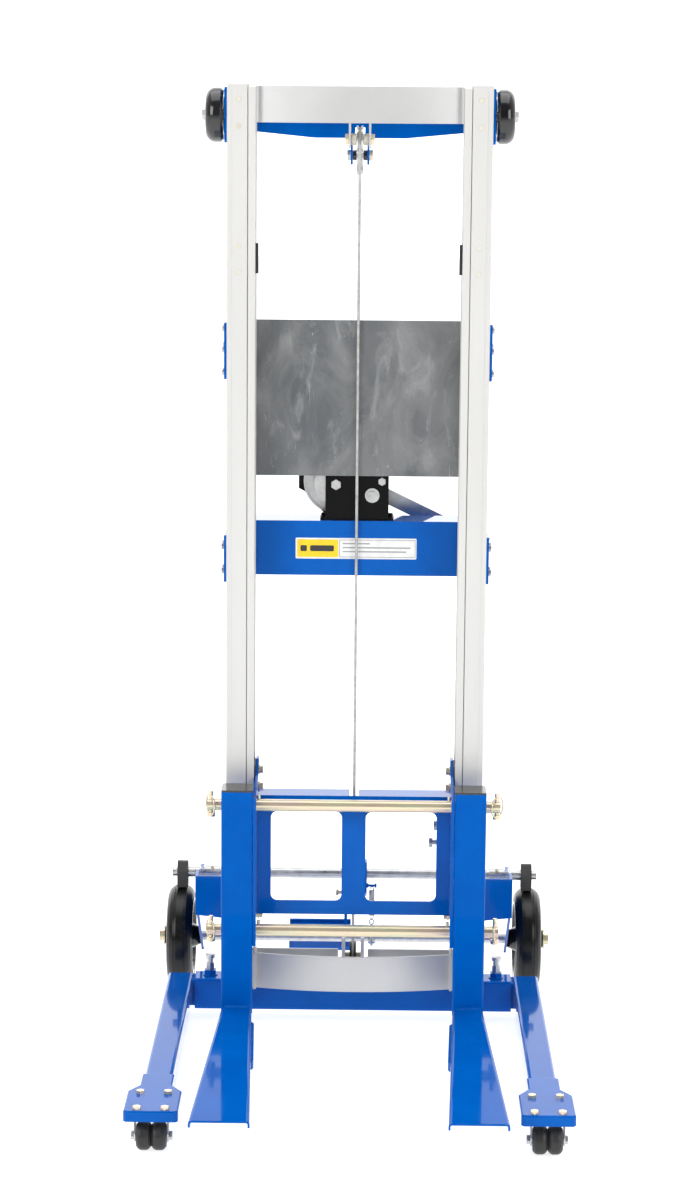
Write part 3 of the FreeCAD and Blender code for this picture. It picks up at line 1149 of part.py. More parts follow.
def build():
    os.makedirs("parts", exist_ok=True)
    export_pair("mast_rail", outer_rail())
    export_pair("inner_rail", inner_rail())
    export("glide_pads", glide_pads())
    export("inner_pads", inner_pads())
    plates = side_plates()
    export("side_plates_R", plates)
    export("side_plates_L", [mirror(plate) for plate in plates])
    export("winch_beam", winch_beam())
    export("rear_cross", rear_cross())
    export("guard_plate", guard_plate())
    export("top_plate", top_plate())
    export("frame_fasteners", frame_fasteners())
    export("inner_top_beam", inner_top_beam())
    export("inner_foot", inner_foot())
    export("inner_bolts", [sheave_bolt(INNER_TOP_Y, INNER_TOP_Z, TAB_X[1]),
                           sheave_pin(INNER_LOW_Y, INNER_LOW_Z, WEB_X[1])])
    export("sheave_inner_top", sheave(INNER_TOP_Y, INNER_TOP_Z, INNER_TOP_R))
    export("sheave_inner_low", sheave(INNER_LOW_Y, INNER_LOW_Z, INNER_LOW_R))
    export("sheave_outer_top", sheave(OUTER_TOP_Y, OUTER_TOP_Z, OUTER_TOP_R))
    export("rope_winch", rope_winch())
    export("rope_outer", rope_line(OUTER_ROPE_Y, INNER_LOW_Z, OUTER_TOP_Z))
    export("rope_inner", rope_inner())
    export("rope_carriage", rope_line(CARRIAGE_ROPE_Y, 484.5, INNER_TOP_Z))
    export("carriage_plate", carriage_plate())
    export_pair("carriage_side", carriage_side())
    export("carriage_slides", carriage_slides())
    export("carriage_fasteners", carriage_fasteners())
    export("fork_rods", fork_rods())
    export_pair("fork", fork())
    export("fork_caps", both_sides(fork_cap()))
    export("base_beam", base_beam())
    export_pair("axle_bracket", axle_bracket())
    export("axle", axle())
    export_pair("tyre", tyre())
    export_pair("rim", rim())
    export_pair("load_wheel", load_wheel())
    export_pair("leg", leg())
    mount = caster_mount()
    export("caster_mount_R", mount)
    export("caster_mount_L", [mirror(piece) for piece in mount])
    export_pair("caster_fork", caster_fork())
    export_pair("caster_wheels", caster_wheels())
    export_pair("plunger", plunger())
    export("brake_shaft", brake_shaft())
    export("brake_pedal", brake_pedal())
    export("brake_shoes", both_sides(brake_shoe()))
    export("brake_spring", brake_spring())
    export("drum", drum())
    export("crank", crank())
    export("crank_grip", crank_grip())
    export("winch_frame", winch_frame())


build()
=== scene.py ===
import json
import math
import random

import bpy
from mathutils import Matrix, Vector


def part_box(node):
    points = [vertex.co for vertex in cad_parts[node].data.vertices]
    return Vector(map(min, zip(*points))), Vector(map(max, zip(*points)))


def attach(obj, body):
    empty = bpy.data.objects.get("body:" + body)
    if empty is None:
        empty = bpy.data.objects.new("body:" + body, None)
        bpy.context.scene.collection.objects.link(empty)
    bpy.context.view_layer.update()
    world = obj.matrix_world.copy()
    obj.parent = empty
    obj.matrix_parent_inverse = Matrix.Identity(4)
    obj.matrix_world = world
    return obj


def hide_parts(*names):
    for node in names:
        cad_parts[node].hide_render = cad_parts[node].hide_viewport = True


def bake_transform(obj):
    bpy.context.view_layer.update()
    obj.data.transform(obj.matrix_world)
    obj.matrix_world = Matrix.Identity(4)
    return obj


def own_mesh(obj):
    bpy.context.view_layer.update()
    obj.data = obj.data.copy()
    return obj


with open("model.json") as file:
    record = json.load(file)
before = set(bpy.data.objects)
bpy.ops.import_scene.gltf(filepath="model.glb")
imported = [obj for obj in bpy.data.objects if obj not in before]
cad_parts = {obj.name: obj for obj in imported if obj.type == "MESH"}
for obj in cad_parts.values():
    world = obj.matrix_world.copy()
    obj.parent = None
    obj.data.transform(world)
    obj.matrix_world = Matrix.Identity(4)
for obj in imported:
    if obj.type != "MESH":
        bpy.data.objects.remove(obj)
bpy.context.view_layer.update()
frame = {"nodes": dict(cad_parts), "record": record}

MM = 0.001
NODES = frame["nodes"]


# ------------------------------------------------------------------ material graphs

class Graph:
    """A principled material with short helpers for its procedural nodes."""

    def __init__(self, name, metallic=0.0, coat=0.0, specular=0.5, coat_rough=0.08, ior=1.5, sheen=0.0):
        self.mat = bpy.data.materials.new(name)
        self.mat.use_nodes = True
        self.tree = self.mat.node_tree
        self.shader = self.tree.nodes["Principled BSDF"]
        self.shader.inputs["Metallic"].default_value = metallic
        self.shader.inputs["Coat Weight"].default_value = coat
        self.shader.inputs["Coat Roughness"].default_value = coat_rough
        self.shader.inputs["Coat IOR"].default_value = ior
        self.shader.inputs["IOR"].default_value = ior
        self.shader.inputs["Specular IOR Level"].default_value = specular
        self.shader.inputs["Sheen Weight"].default_value = sheen
        self.shader.inputs["Sheen Roughness"].default_value = 0.25
        self.place = self.add("ShaderNodeTexCoord").outputs["Object"]

    def add(self, kind, **settings):
        node = self.tree.nodes.new(kind)
        for key, value in settings.items():
            setattr(node, key, value)
        return node

    def link(self, value, socket):
        if isinstance(value, bpy.types.NodeSocket):
            self.tree.links.new(value, socket)
        else:
            socket.default_value = value

    def stretch(self, x, y, z):
        node = self.add("ShaderNodeMapping")
        self.link(self.place, node.inputs["Vector"])
        node.inputs["Scale"].default_value = (x, y, z)
        return node.outputs["Vector"]

    def noise(self, scale, detail=3.0, rough=0.5, vector=None, distort=0.0):
        node = self.add("ShaderNodeTexNoise")
        self.link(vector or self.place, node.inputs["Vector"])
        node.inputs["Scale"].default_value = scale
        node.inputs["Detail"].default_value = detail
        node.inputs["Roughness"].default_value = rough
        node.inputs["Distortion"].default_value = distort
        return node.outputs["Fac"]

    def cells(self, scale):
        node = self.add("ShaderNodeTexVoronoi", feature="F1")
        self.link(self.place, node.inputs["Vector"])
        node.inputs["Scale"].default_value = scale
        return node.outputs["Distance"]

    def ramp(self, value, low, high, out_low=0.0, out_high=1.0):
        node = self.add("ShaderNodeMapRange")
        self.link(value, node.inputs["Value"])
        node.inputs["From Min"].default_value = low
        node.inputs["From Max"].default_value = high
        node.inputs["To Min"].default_value = out_low
        node.inputs["To Max"].default_value = out_high
        return node.outputs["Result"]

    def math(self, operation, a, b=0.0):
        node = self.add("ShaderNodeMath", operation=operation)
        self.link(a, node.inputs[0])
        self.link(b, node.inputs[1])
        return node.outputs["Value"]

    def mix(self, share, a, b):
        node = self.add("ShaderNodeMix", data_type="RGBA")
        self.link(share, node.inputs[0])
        self.link(a, node.inputs[6])
        self.link(b, node.inputs[7])
        return node.outputs[2]

    def edges(self, radius, low=0.02, high=0.25):
        """1 on worn edges, 0 on flats, from the difference between rounded and true normals."""
        rounded = self.add("ShaderNodeBevel", samples=4)
        rounded.inputs["Radius"].default_value = radius
        true = self.add("ShaderNodeNewGeometry")
        dot = self.add("ShaderNodeVectorMath", operation="DOT_PRODUCT")
        self.link(rounded.outputs["Normal"], dot.inputs[0])
        self.link(true.outputs["Normal"], dot.inputs[1])
        off = self.math("SUBTRACT", 1.0, dot.outputs["Value"])
        return self.ramp(off, low, high)

    def finish(self, colour, rough, heights=(), round_mm=0.8):
        """heights: (height socket, distance in mm) pairs, from the coarsest to the finest."""
        self.link(colour, self.shader.inputs["Base Color"])
        self.link(rough, self.shader.inputs["Roughness"])
        normal = None
        if round_mm:
            bevel = self.add("ShaderNodeBevel", samples=4)
            bevel.inputs["Radius"].default_value = round_mm * MM
            normal = bevel.outputs["Normal"]
        for height, depth in heights:
            bump = self.add("ShaderNodeBump")
            bump.inputs["Distance"].default_value = depth * MM
            self.link(height, bump.inputs["Height"])
            if normal is not None:
                self.link(normal, bump.inputs["Normal"])
            normal = bump.outputs["Normal"]
        if normal is not None:
            self.link(normal, self.shader.inputs["Normal"])
        return self.mat


def rgb(red, green, blue):
    return (red, green, blue, 1.0)


def blue_paint(name="blue_powder_coat", coat=1.0, ior=1.14, sheen=0.05):
    """Gloss powder coat: orange peel, faint mottling, dust nibs and a few rubbed edges."""
    g = Graph(name, coat=coat, coat_rough=0.03, ior=ior, sheen=sheen)
    mottle = g.noise(14.0, 4.0, 0.6)
    base = g.mix(g.ramp(mottle, 0.3, 0.7), rgb(0.0002, 0.094, 0.43), rgb(0.0002, 0.112, 0.49))
    scuff = g.ramp(g.noise(9.0, 8.0, 0.75, g.stretch(1.0, 1.0, 6.0)), 0.67, 0.74)
    base = g.mix(g.math("MULTIPLY", scuff, 0.12), base, rgb(0.10, 0.25, 0.60))
    wear = g.math("MULTIPLY", g.edges(0.0012, 0.05, 0.35), g.ramp(g.noise(60.0, 3.0), 0.48, 0.6))
    base = g.mix(g.math("MULTIPLY", wear, 0.5), base, rgb(0.20, 0.40, 0.78))
    rough = g.ramp(mottle, 0.2, 0.8, 0.05, 0.11)
    peel = g.noise(240.0, 2.0, 0.5)
    nibs = g.ramp(g.noise(520.0, 1.0, 0.5), 0.72, 0.80)
    return g.finish(base, rough, [(peel, 0.015), (nibs, 0.04)], 1.2)


def rail_aluminium():
    """Pale satin anodised extrusion with fine draw lines along its length."""
    g = Graph("satin_aluminium", metallic=0.30)
    lines = g.noise(1.0, 6.0, 0.7, g.stretch(900.0, 900.0, 3.0))
    cloud = g.noise(5.0, 3.0, 0.5, g.stretch(1.0, 1.0, 0.4))
    base = g.mix(g.ramp(cloud, 0.3, 0.7), rgb(0.66, 0.655, 0.635), rgb(0.71, 0.705, 0.685))
    base = g.mix(g.ramp(lines, 0.2, 0.8, 0.0, 0.2), base, rgb(0.66, 0.66, 0.65))
    mark = g.ramp(g.noise(26.0, 9.0, 0.8, g.stretch(2.0, 2.0, 0.25)), 0.69, 0.75)
    base = g.mix(g.math("MULTIPLY", mark, 0.25), base, rgb(0.5, 0.5, 0.5))
    rough = g.ramp(lines, 0.2, 0.8, 0.36, 0.5)
    return g.finish(base, rough, [(lines, 0.02)], 0.8)


def guard_sheet():
    """Handled mill sheet: dull clouds, smears, fine bright scratches and small dents."""
    g = Graph("scratched_mill_sheet", metallic=0.75)
    grain = g.noise(1.0, 5.0, 0.7, g.stretch(6.0, 6.0, 700.0))
    broad = g.noise(2.6, 3.0, 0.5, g.stretch(1.0, 1.0, 0.6), 0.8)
    cloud = g.noise(8.0, 6.0, 0.65, g.stretch(1.4, 1.0, 0.8), 0.9)
    smear = g.noise(17.0, 8.0, 0.7, g.stretch(1.2, 1.0, 0.45), 1.4)
    base = g.mix(g.ramp(broad, 0.35, 0.65), rgb(0.135, 0.145, 0.155), rgb(0.27, 0.275, 0.28))
    base = g.mix(g.ramp(cloud, 0.42, 0.68, 0.0, 0.55), base, rgb(0.36, 0.365, 0.36))
    base = g.mix(g.ramp(smear, 0.54, 0.74, 0.0, 0.5), base, rgb(0.50, 0.505, 0.50))
    fine = g.ramp(g.noise(1.0, 4.0, 0.6, g.stretch(150.0, 10.0, 26.0), 0.5), 0.70, 0.73)
    long = g.ramp(g.noise(1.0, 3.0, 0.6, g.stretch(420.0, 10.0, 9.0), 0.8), 0.71, 0.735)
    specks = g.ramp(g.noise(210.0, 2.0, 0.6), 0.73, 0.77)
    base = g.mix(g.math("MULTIPLY", fine, 0.5), base, rgb(0.75, 0.75, 0.75))
    base = g.mix(g.math("MULTIPLY", long, 0.55), base, rgb(0.72, 0.72, 0.72))
    base = g.mix(g.math("MULTIPLY", specks, 0.6), base, rgb(0.80, 0.80, 0.80))
    rough = g.ramp(smear, 0.25, 0.8, 0.34, 0.6)
    return g.finish(base, rough, [(cloud, 0.5), (grain, 0.015), (long, 0.03)], 0.4)


def silver_paint():
    """Silver hammertone enamel."""
    g = Graph("silver_hammertone", metallic=0.25, coat=0.1, coat_rough=0.25)
    dimple = g.cells(260.0)
    grain = g.noise(700.0, 2.0, 0.6)
    cloud = g.noise(6.0, 3.0)
    base = g.mix(g.ramp(cloud, 0.3, 0.7), rgb(0.50, 0.50, 0.495), rgb(0.58, 0.58, 0.575))
    base = g.mix(g.ramp(grain, 0.35, 0.75, 0.0, 0.3), base, rgb(0.68, 0.68, 0.68))
    rough = g.ramp(grain, 0.2, 0.8, 0.32, 0.5)
    return g.finish(base, rough, [(dimple, 0.12), (grain, 0.03)], 1.0)


def yellow_zinc():
    """Passivated zinc plate: pale gold with a thin pink and green film and turning marks."""
    g = Graph("yellow_zinc", metallic=0.55)
    film = g.noise(1.0, 2.0, 0.5, g.stretch(7.0, 60.0, 60.0), 0.3)
    base = g.mix(g.ramp(film, 0.38, 0.5), rgb(0.74, 0.59, 0.49), rgb(0.76, 0.66, 0.45))
    base = g.mix(g.ramp(film, 0.54, 0.64), base, rgb(0.68, 0.67, 0.47))
    base = g.mix(g.ramp(g.noise(220.0, 4.0), 0.6, 0.78, 0.0, 0.3), base, rgb(0.50, 0.44, 0.36))
    rough = g.ramp(film, 0.3, 0.7, 0.16, 0.26)
    marks = g.noise(1.0, 3.0, 0.5, g.stretch(1200.0, 60.0, 60.0))
    return g.finish(base, rough, [(marks, 0.015)], 0.5)


def clear_zinc():
    g = Graph("clear_zinc", metallic=0.9)
    cloud = g.noise(60.0, 4.0, 0.6)
    speck = g.noise(420.0, 3.0, 0.6)
    base = g.mix(g.ramp(cloud, 0.3, 0.7), rgb(0.50, 0.505, 0.505), rgb(0.66, 0.665, 0.66))
    base = g.mix(g.ramp(speck, 0.58, 0.72, 0.0, 0.35), base, rgb(0.36, 0.36, 0.37))
    rough = g.ramp(cloud, 0.2, 0.8, 0.24, 0.42)
    return g.finish(base, rough, [(speck, 0.02)], 0.5)


def rope_steel():
    """Galvanised strands: grey with darker grease in random patches."""
    g = Graph("galvanised_strand", metallic=0.55)
    tone = g.noise(90.0, 3.0)
    wires = g.noise(1.0, 2.0, 0.5, g.stretch(2400.0, 2400.0, 500.0))
    base = g.mix(g.ramp(tone, 0.3, 0.7), rgb(0.36, 0.36, 0.35), rgb(0.54, 0.54, 0.52))
    return g.finish(base, g.ramp(wires, 0.2, 0.8, 0.28, 0.5), [(wires, 0.05)], 0.0)


def moulded(name, dark, light, rough_low, rough_high, grain_mm=0.03, coat=0.0, specular=0.5):
    """Moulded plastic or rubber: fine texture, slight tone and gloss changes."""
    g = Graph(name, coat=coat, specular=specular)
    tone = g.noise(22.0, 4.0, 0.6)
    grain = g.noise(900.0, 2.0, 0.6)
    base = g.mix(g.ramp(tone, 0.3, 0.7), rgb(*dark), rgb(*light))
    dust = g.ramp(g.noise(120.0, 6.0, 0.7), 0.62, 0.75, 0.0, 0.25)
    pale = tuple(min(1.0, c * 1.6 + 0.01) for c in light)
    base = g.mix(dust, base, rgb(*pale))
    rough = g.ramp(tone, 0.2, 0.8, rough_low, rough_high)
    return g.finish(base, rough, [(grain, grain_mm)], 0.6)


def black_paint():
    g = Graph("black_enamel", coat=0.25, coat_rough=0.05, specular=0.2, ior=1.3)
    tone = g.noise(30.0, 4.0)
    base = g.mix(g.ramp(tone, 0.3, 0.7), rgb(0.0015, 0.0015, 0.0016), rgb(0.003, 0.003, 0.0035))
    wear = g.math("MULTIPLY", g.edges(0.0008, 0.05, 0.3), g.ramp(g.noise(90.0, 3.0), 0.5, 0.6))
    base = g.mix(g.math("MULTIPLY", wear, 0.5), base, rgb(0.3, 0.3, 0.3))
    return g.finish(base, g.ramp(tone, 0.2, 0.8, 0.2, 0.36), [(g.noise(400.0, 2.0), 0.04)], 0.8)


def printed(name, colour):
    """Vinyl film in one printed colour, with faint ripples and dust."""
    g = Graph(name, coat=0.3, coat_rough=0.15)
    tone = g.noise(80.0, 5.0, 0.6)
    dull = tuple(c * 0.9 for c in colour)
    base = g.mix(g.ramp(tone, 0.35, 0.7), rgb(*colour), rgb(*dull))
    return g.finish(base, g.ramp(tone, 0.2, 0.8, 0.3, 0.45), [(g.noise(60.0, 2.0), 0.03)], 0.0)


MATERIALS = {
    "blue_paint": blue_paint(),
    "rail_aluminium": rail_aluminium(),
    "sheet_aluminium": guard_sheet(),
    "silver_paint": silver_paint(),
    "zinc_yellow": yellow_zinc(),
    "zinc_clear": clear_zinc(),
    "wire_rope": rope_steel(),
    "cream_nylon": moulded("cream_nylon", (0.62, 0.58, 0.47), (0.72, 0.69, 0.60), 0.4, 0.55),
    "black_nylon": moulded("black_nylon", (0.012, 0.012, 0.012), (0.03, 0.03, 0.03), 0.38, 0.55),
    "black_gloss": moulded("black_gloss", (0.006, 0.006, 0.007), (0.014, 0.014, 0.015), 0.12, 0.24,
                           grain_mm=0.01, coat=0.4),
    "black_paint": black_paint(),
    "grip_plastic": moulded("grip_plastic", (0.01, 0.01, 0.01), (0.03, 0.03, 0.03), 0.4, 0.6, 0.06),
    "grey_rim": moulded("grey_rim", (0.012, 0.012, 0.013), (0.03, 0.03, 0.032), 0.16, 0.28, 0.02, 0.5),
    "tyre_rubber": moulded("tyre_rubber", (0.0025, 0.0025, 0.0025), (0.007, 0.007, 0.007), 0.22, 0.36,
                           grain_mm=0.04, specular=0.35),
    "shoe_rubber": moulded("shoe_rubber", (0.042, 0.040, 0.035), (0.060, 0.057, 0.050), 0.6, 0.8, 0.08),
}
EXTRA = {
    "yellow_film": printed("yellow_film", (0.93, 0.66, 0.004)),
    "white_film": printed("white_film", (0.86, 0.86, 0.85)),
    "grey_print": printed("grey_print", (0.30, 0.31, 0.33)),
    "blade_blue": blue_paint("blade_blue", 0.6, 1.09, 0.0),
    "black_print": printed("black_print", (0.02, 0.02, 0.02)),
}
SLOT_OF = {part["node"]: part["material_slot"] for part in frame["record"]["subparts"]}


def middle(node):
    low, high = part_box(node)
    return (low + high) / 2


def dress(obj, material):
    obj.data.materials.clear()
    obj.data.materials.append(material)


for node_name, node in NODES.items():
    dress(node, MATERIALS[SLOT_OF[node_name]])


def touch_up(node_name, slot, chosen):
    """Give the faces of a node whose centre passes a test another finish."""
    mesh = NODES[node_name].data
    mesh.materials.append(MATERIALS[slot])
    index = len(mesh.materials) - 1
    for polygon in mesh.polygons:
        if chosen(polygon.center):
            polygon.material_index = index


PLUNGER_NUT_TOP = 11.2 * MM     # above the base beam
PLUNGER_NUT_HALF = 16 * MM
SET_SCREW_X = 283.3 * MM
SET_SCREW_HALF = 5 * MM
SLEEVE_R = 13.8 * MM


def mixed_finishes():
    """Gold bolts among the bright ones, and the painted nuts under the leg plungers."""
    hub_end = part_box("rim_R")[1].x
    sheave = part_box("sheave_outer_top")
    beam_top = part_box("base_beam")[1].z
    nut_top = beam_top + PLUNGER_NUT_TOP
    pin = middle("plunger_R")
    touch_up("frame_fasteners", "zinc_yellow", lambda c: abs(c.x) > hub_end or (
        c.x > 0.01 and sheave[0].z < c.z < sheave[1].z and c.y < sheave[1].y and c.x < 0.05))
    touch_up("frame_fasteners", "blue_paint", lambda c: beam_top - MM < c.z < nut_top
             and abs(abs(c.x) - pin.x) < PLUNGER_NUT_HALF and abs(c.y - pin.y) < PLUNGER_NUT_HALF)
    for side in "LR":
        pan_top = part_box("leg_" + side)[1].z
        touch_up("caster_mount_" + side, "zinc_yellow", lambda c: c.z > pan_top)
    shaft = middle("brake_shaft")
    touch_up("brake_shaft", "zinc_yellow", lambda c: abs(abs(c.x) - SET_SCREW_X) < SET_SCREW_HALF
             and math.hypot(c.y - shaft.y, c.z - shaft.z) > SLEEVE_R)


for blade in ("fork_L", "fork_R"):
    dress(NODES[blade], EXTRA["blade_blue"])
mixed_finishes()


# ------------------------------------------------------------------ mesh helpers

def mesh_object(name, verts, faces, material, smooth=True):
    mesh = bpy.data.meshes.new(name)
    mesh.from_pydata([tuple(v) for v in verts], [], faces)
    mesh.update()
    if smooth:
        mesh.polygons.foreach_set("use_smooth", [True] * len(mesh.polygons))
    obj = bpy.data.objects.new(name, mesh)
    bpy.context.scene.collection.objects.link(obj)
    mesh.materials.append(material)
    return obj


def sweep(name, path, radius_at, count, material):
    """Tube along a path of points; radius_at(angle, distance) gives its lobed section."""
    verts, faces = [], []
    side = None
    travelled = 0.0
    total = len(path)
    for index, point in enumerate(path):
        ahead = path[min(index + 1, total - 1)] - path[max(index - 1, 0)]
        ahead.normalize()
        if side is None:
            seed = Vector((1, 0, 0)) if abs(ahead.x) < 0.9 else Vector((0, 1, 0))
            side = (seed - ahead * seed.dot(ahead)).normalized()
        else:
            side = (side - ahead * side.dot(ahead)).normalized()
            travelled += (point - path[index - 1]).length
        up = ahead.cross(side)
        for k in range(count):
            angle = 2 * math.pi * k / count
            r = radius_at(angle, travelled)
            verts.append(point + side * (r * math.cos(angle)) + up * (r * math.sin(angle)))
    for ring in range(total - 1):
        a, b = ring * count, (ring + 1) * count
        for k in range(count):
            n = (k + 1) % count
            faces.append((a + k, a + n, b + n, b + k))
    last = (total - 1) * count
    faces.append(tuple(reversed(range(count))))
    faces.append(tuple(last + k for k in range(count)))
    return mesh_object(name, verts, faces, material)


ROPE_R = 2.5 * MM
ROPE_LAY = 26.0 * MM
STRANDS = 6
STRAND_DEPTH = 0.42 * MM
ROPE_SIDES = 24
ROPE_STEP = 2.2 * MM
DRUM_TURNS = 4
DRUM_TURN_PITCH = 5.3 * MM
POINTS_PER_TURN = 90


def strand_radius(angle, distance):
    phase = (angle - 2 * math.pi * distance / ROPE_LAY) * STRANDS / 2
    return ROPE_R - STRAND_DEPTH * (1 - abs(math.cos(phase)))


def line(start, end, step=ROPE_STEP):
    count = max(2, int((end - start).length / step))
    return [start.lerp(end, i / count) for i in range(count + 1)]


def arc(y, z, radius, from_deg, to_deg):
    """Arc in the middle plane; angles run from +Y towards +Z."""
    sweep_angle = math.radians(to_deg - from_deg)
    count = max(4, int(abs(sweep_angle) * radius / ROPE_STEP))
    points = []
    for i in range(count + 1):
        angle = math.radians(from_deg) + sweep_angle * i / count
        points.append(Vector((0, y + radius * math.cos(angle), z + radius * math.sin(angle))))
    return points


def rope(name, path, node, body):
    piece = sweep(name, path, strand_radius, ROPE_SIDES, MATERIALS["wire_rope"])
    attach(piece, body)
    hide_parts(node)
    return piece


def add_ropes():
    outer, low, top = (middle(n) for n in ("sheave_outer_top", "sheave_inner_low", "sheave_inner_top"))
    winch_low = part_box("rope_winch")[0]
    winch_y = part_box("rope_winch")[1].y - ROPE_R
    outer_y = middle("rope_outer").y
    inner_y = outer_y - 2 * (outer_y - low.y)
    front_y = middle("rope_carriage").y
    r_outer = (winch_y - outer_y) / 2
    path = line(Vector((0, winch_y, winch_low.z)), Vector((0, winch_y, outer.z)))
    path += arc(outer.y, outer.z, r_outer, 0, 180)[1:]
    rope("wire_rope_winch", path, "rope_winch", "base")
    r_low = outer_y - low.y
    path = arc(low.y, low.z, r_low, 360, 180)
    path += line(Vector((0, inner_y, low.z)), Vector((0, inner_y, top.z)))[1:]
    path += arc(top.y, top.z, inner_y - top.y, 0, 180)[1:]
    rope("wire_rope_inner", path, "rope_inner", "mast")
    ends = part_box("rope_outer")
    path = line(Vector((0, outer_y, ends[1].z)), Vector((0, outer_y, ends[0].z)))
    run = rope("wire_rope_outer", path, "rope_outer", "base")
    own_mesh(run)
    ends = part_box("rope_carriage")
    path = line(Vector((0, front_y, ends[1].z)), Vector((0, front_y, ends[0].z)))
    run = rope("wire_rope_carriage", path, "rope_carriage", "mast")
    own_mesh(run)


add_ropes()


def add_drum_turns():
    """Rope stored on the drum: neat turns lying side by side."""
    centre = middle("drum")
    pitch = -centre.x
    start_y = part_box("rope_winch")[1].y - ROPE_R - DRUM_TURNS * DRUM_TURN_PITCH
    path = []
    for i in range(DRUM_TURNS * POINTS_PER_TURN + 1):
        angle = 2 * math.pi * i / POINTS_PER_TURN
        y = start_y + DRUM_TURN_PITCH * i / POINTS_PER_TURN
        path.append(Vector((centre.x + pitch * math.cos(angle), y, centre.z - pitch * math.sin(angle))))
    piece = sweep("rope_on_drum", path, strand_radius, ROPE_SIDES, MATERIALS["wire_rope"])
    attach(piece, "drum")


add_drum_turns()


SPRING_WIRE = 0.9 * MM
SPRING_R = 4.9 * MM
SPRING_LOOP_R = 3.4 * MM
SPRING_LOOP_ROOM = 7 * MM
SPRING_TURNS = 28
SPRING_POINTS = 18          # per turn


def add_spring():
    """Closely wound extension spring with a loop at each end."""
    low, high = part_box("brake_spring")
    x, y = high.x - 5.9 * MM, (low.y + high.y) / 2
    wire, radius, loop = SPRING_WIRE, SPRING_R, SPRING_LOOP_R
    body_low, body_high = low.z + SPRING_LOOP_ROOM, high.z - SPRING_LOOP_ROOM
    path = []
    for i in range(17):
        angle = math.radians(-200 + 15 * i)
        path.append(Vector((x + loop * math.cos(angle), y, low.z + wire + loop - 0.5 * MM
                            + loop * math.sin(angle))))
    steps = SPRING_TURNS * SPRING_POINTS
    for i in range(steps + 1):
        angle = 2 * math.pi * i / SPRING_POINTS
        z = body_low + (body_high - body_low) * i / steps
        path.append(Vector((x + radius * math.cos(angle), y + radius * math.sin(angle), z)))
    for i in range(17):
        angle = math.radians(-40 + 15 * i)
        path.append(Vector((x + loop * math.cos(angle), y, high.z - wire - loop + 0.5 * MM
                            + loop * math.sin(angle))))
    piece = sweep("brake_spring_coil", path, lambda angle, distance: wire, 10, MATERIALS["zinc_clear"])
    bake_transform(piece)
    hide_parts("brake_spring")


add_spring()


def panel(name, corner_low, corner_high, depth, corner, material):
    """Thin rounded plate facing -Y between two (x, z) corners at depth y = depth."""
    (x0, z0), (x1, z1) = corner_low, corner_high
    outline = []
    for cx, cz, start in ((x1 - corner, z1 - corner, 0), (x0 + corner, z1 - corner, 90),
                          (x0 + corner, z0 + corner, 180), (x1 - corner, z0 + corner, 270)):
        for step in range(7):
            angle = math.radians(start + 15 * step)
            outline.append((cx + corner * math.cos(angle), cz + corner * math.sin(angle)))
    count = len(outline)
    thickness = 0.15 * MM
    verts = [(x, depth, z) for x, z in outline] + [(x, depth - thickness, z) for x, z in outline]
    faces = [tuple(range(count)), tuple(reversed(range(count, 2 * count)))]
    for i in range(count):
        n = (i + 1) % count
        faces.append((i, i + count, n + count, n))
    return mesh_object(name, verts, faces, material, smooth=False)


def add_sticker():
    """Generic sticker on the winch beam: a yellow end, a white field and plain grey bars."""
    face_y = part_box("winch_beam")[0].y
    layer = 0.2 * MM

    def film(name, xs, zs, level, corner, colour):
        """xs and zs in mm; level counts the layers below this one."""
        piece = panel("sticker_" + name, (xs[0] * MM, zs[0] * MM), (xs[1] * MM, zs[1] * MM),
                      face_y - layer * level, corner * MM, EXTRA[colour])
        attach(piece, "base")

    film("field", (-113, 111), (918, 957), 0, 2, "white_film")
    film("yellow", (-110, -34), (921, 954), 1, 1, "yellow_film")
    for name, xs, zs in (("top", (-32, 109), (953, 954)), ("bottom", (-32, 109), (921, 922)),
                         ("left", (-32, -31), (922, 953)), ("right", (108, 109), (922, 953))):
        film("frame_" + name, xs, zs, 1, 0.3, "grey_print")
    for row, (right, z) in enumerate(((24, 945.5), (100, 938.0), (92, 930.5))):
        film("bar_%d" % row, (-26, right), (z, z + 2.2), 1, 0.8, "grey_print")
    for name, xs in (("mark_a", (-104, -92)), ("mark_b", (-86, -42))):
        film(name, xs, (932, 943), 2, 2.5, "black_print")


add_sticker()


def washer(name, centre, half, inner, outer, material, body):
    """Turned spacer with its axis along X, from -half to +half about its centre, edges eased."""
    ease = min(0.6 * MM, half / 3)
    section = [(-half, inner), (-half, outer - ease), (-half + ease, outer), (half - ease, outer),
               (half, outer - ease), (half, inner)]
    count = 40
    verts, faces = [], []
    for k in range(count):
        angle = 2 * math.pi * k / count
        for x, r in section:
            y, z = r * math.cos(angle), r * math.sin(angle)
            verts.append((centre[0] + x, centre[1] + y, centre[2] + z))
    size = len(section)
    for k in range(count):
        n = (k + 1) % count
        for i in range(size):
            j = (i + 1) % size
            faces.append((k * size + i, n * size + i, n * size + j, k * size + j))
    piece = mesh_object(name, verts, faces, material, smooth=False)
    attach(piece, body)
    return piece


def add_spacers():
    """Bushes that keep each upper sheave in the middle of its tabs."""
    for name, node, low, high, radius, slot, body in (
            ("cream_bush", "sheave_inner_top", 6.4, 15.9, 10.5, "cream_nylon", "mast"),
            ("black_bush", "sheave_outer_top", 6.4, 12.9, 9.5, "black_gloss", "base")):
        centre = middle(node)
        for side, sign in (("L", -1), ("R", 1)):
            place = (centre.x + sign * (low + high) / 2 * MM, centre.y, centre.z)
            piece = washer(name + "_" + side, place, (high - low) / 2 * MM, 6.1 * MM, radius * MM,
                           MATERIALS[slot], body)


add_spacers()


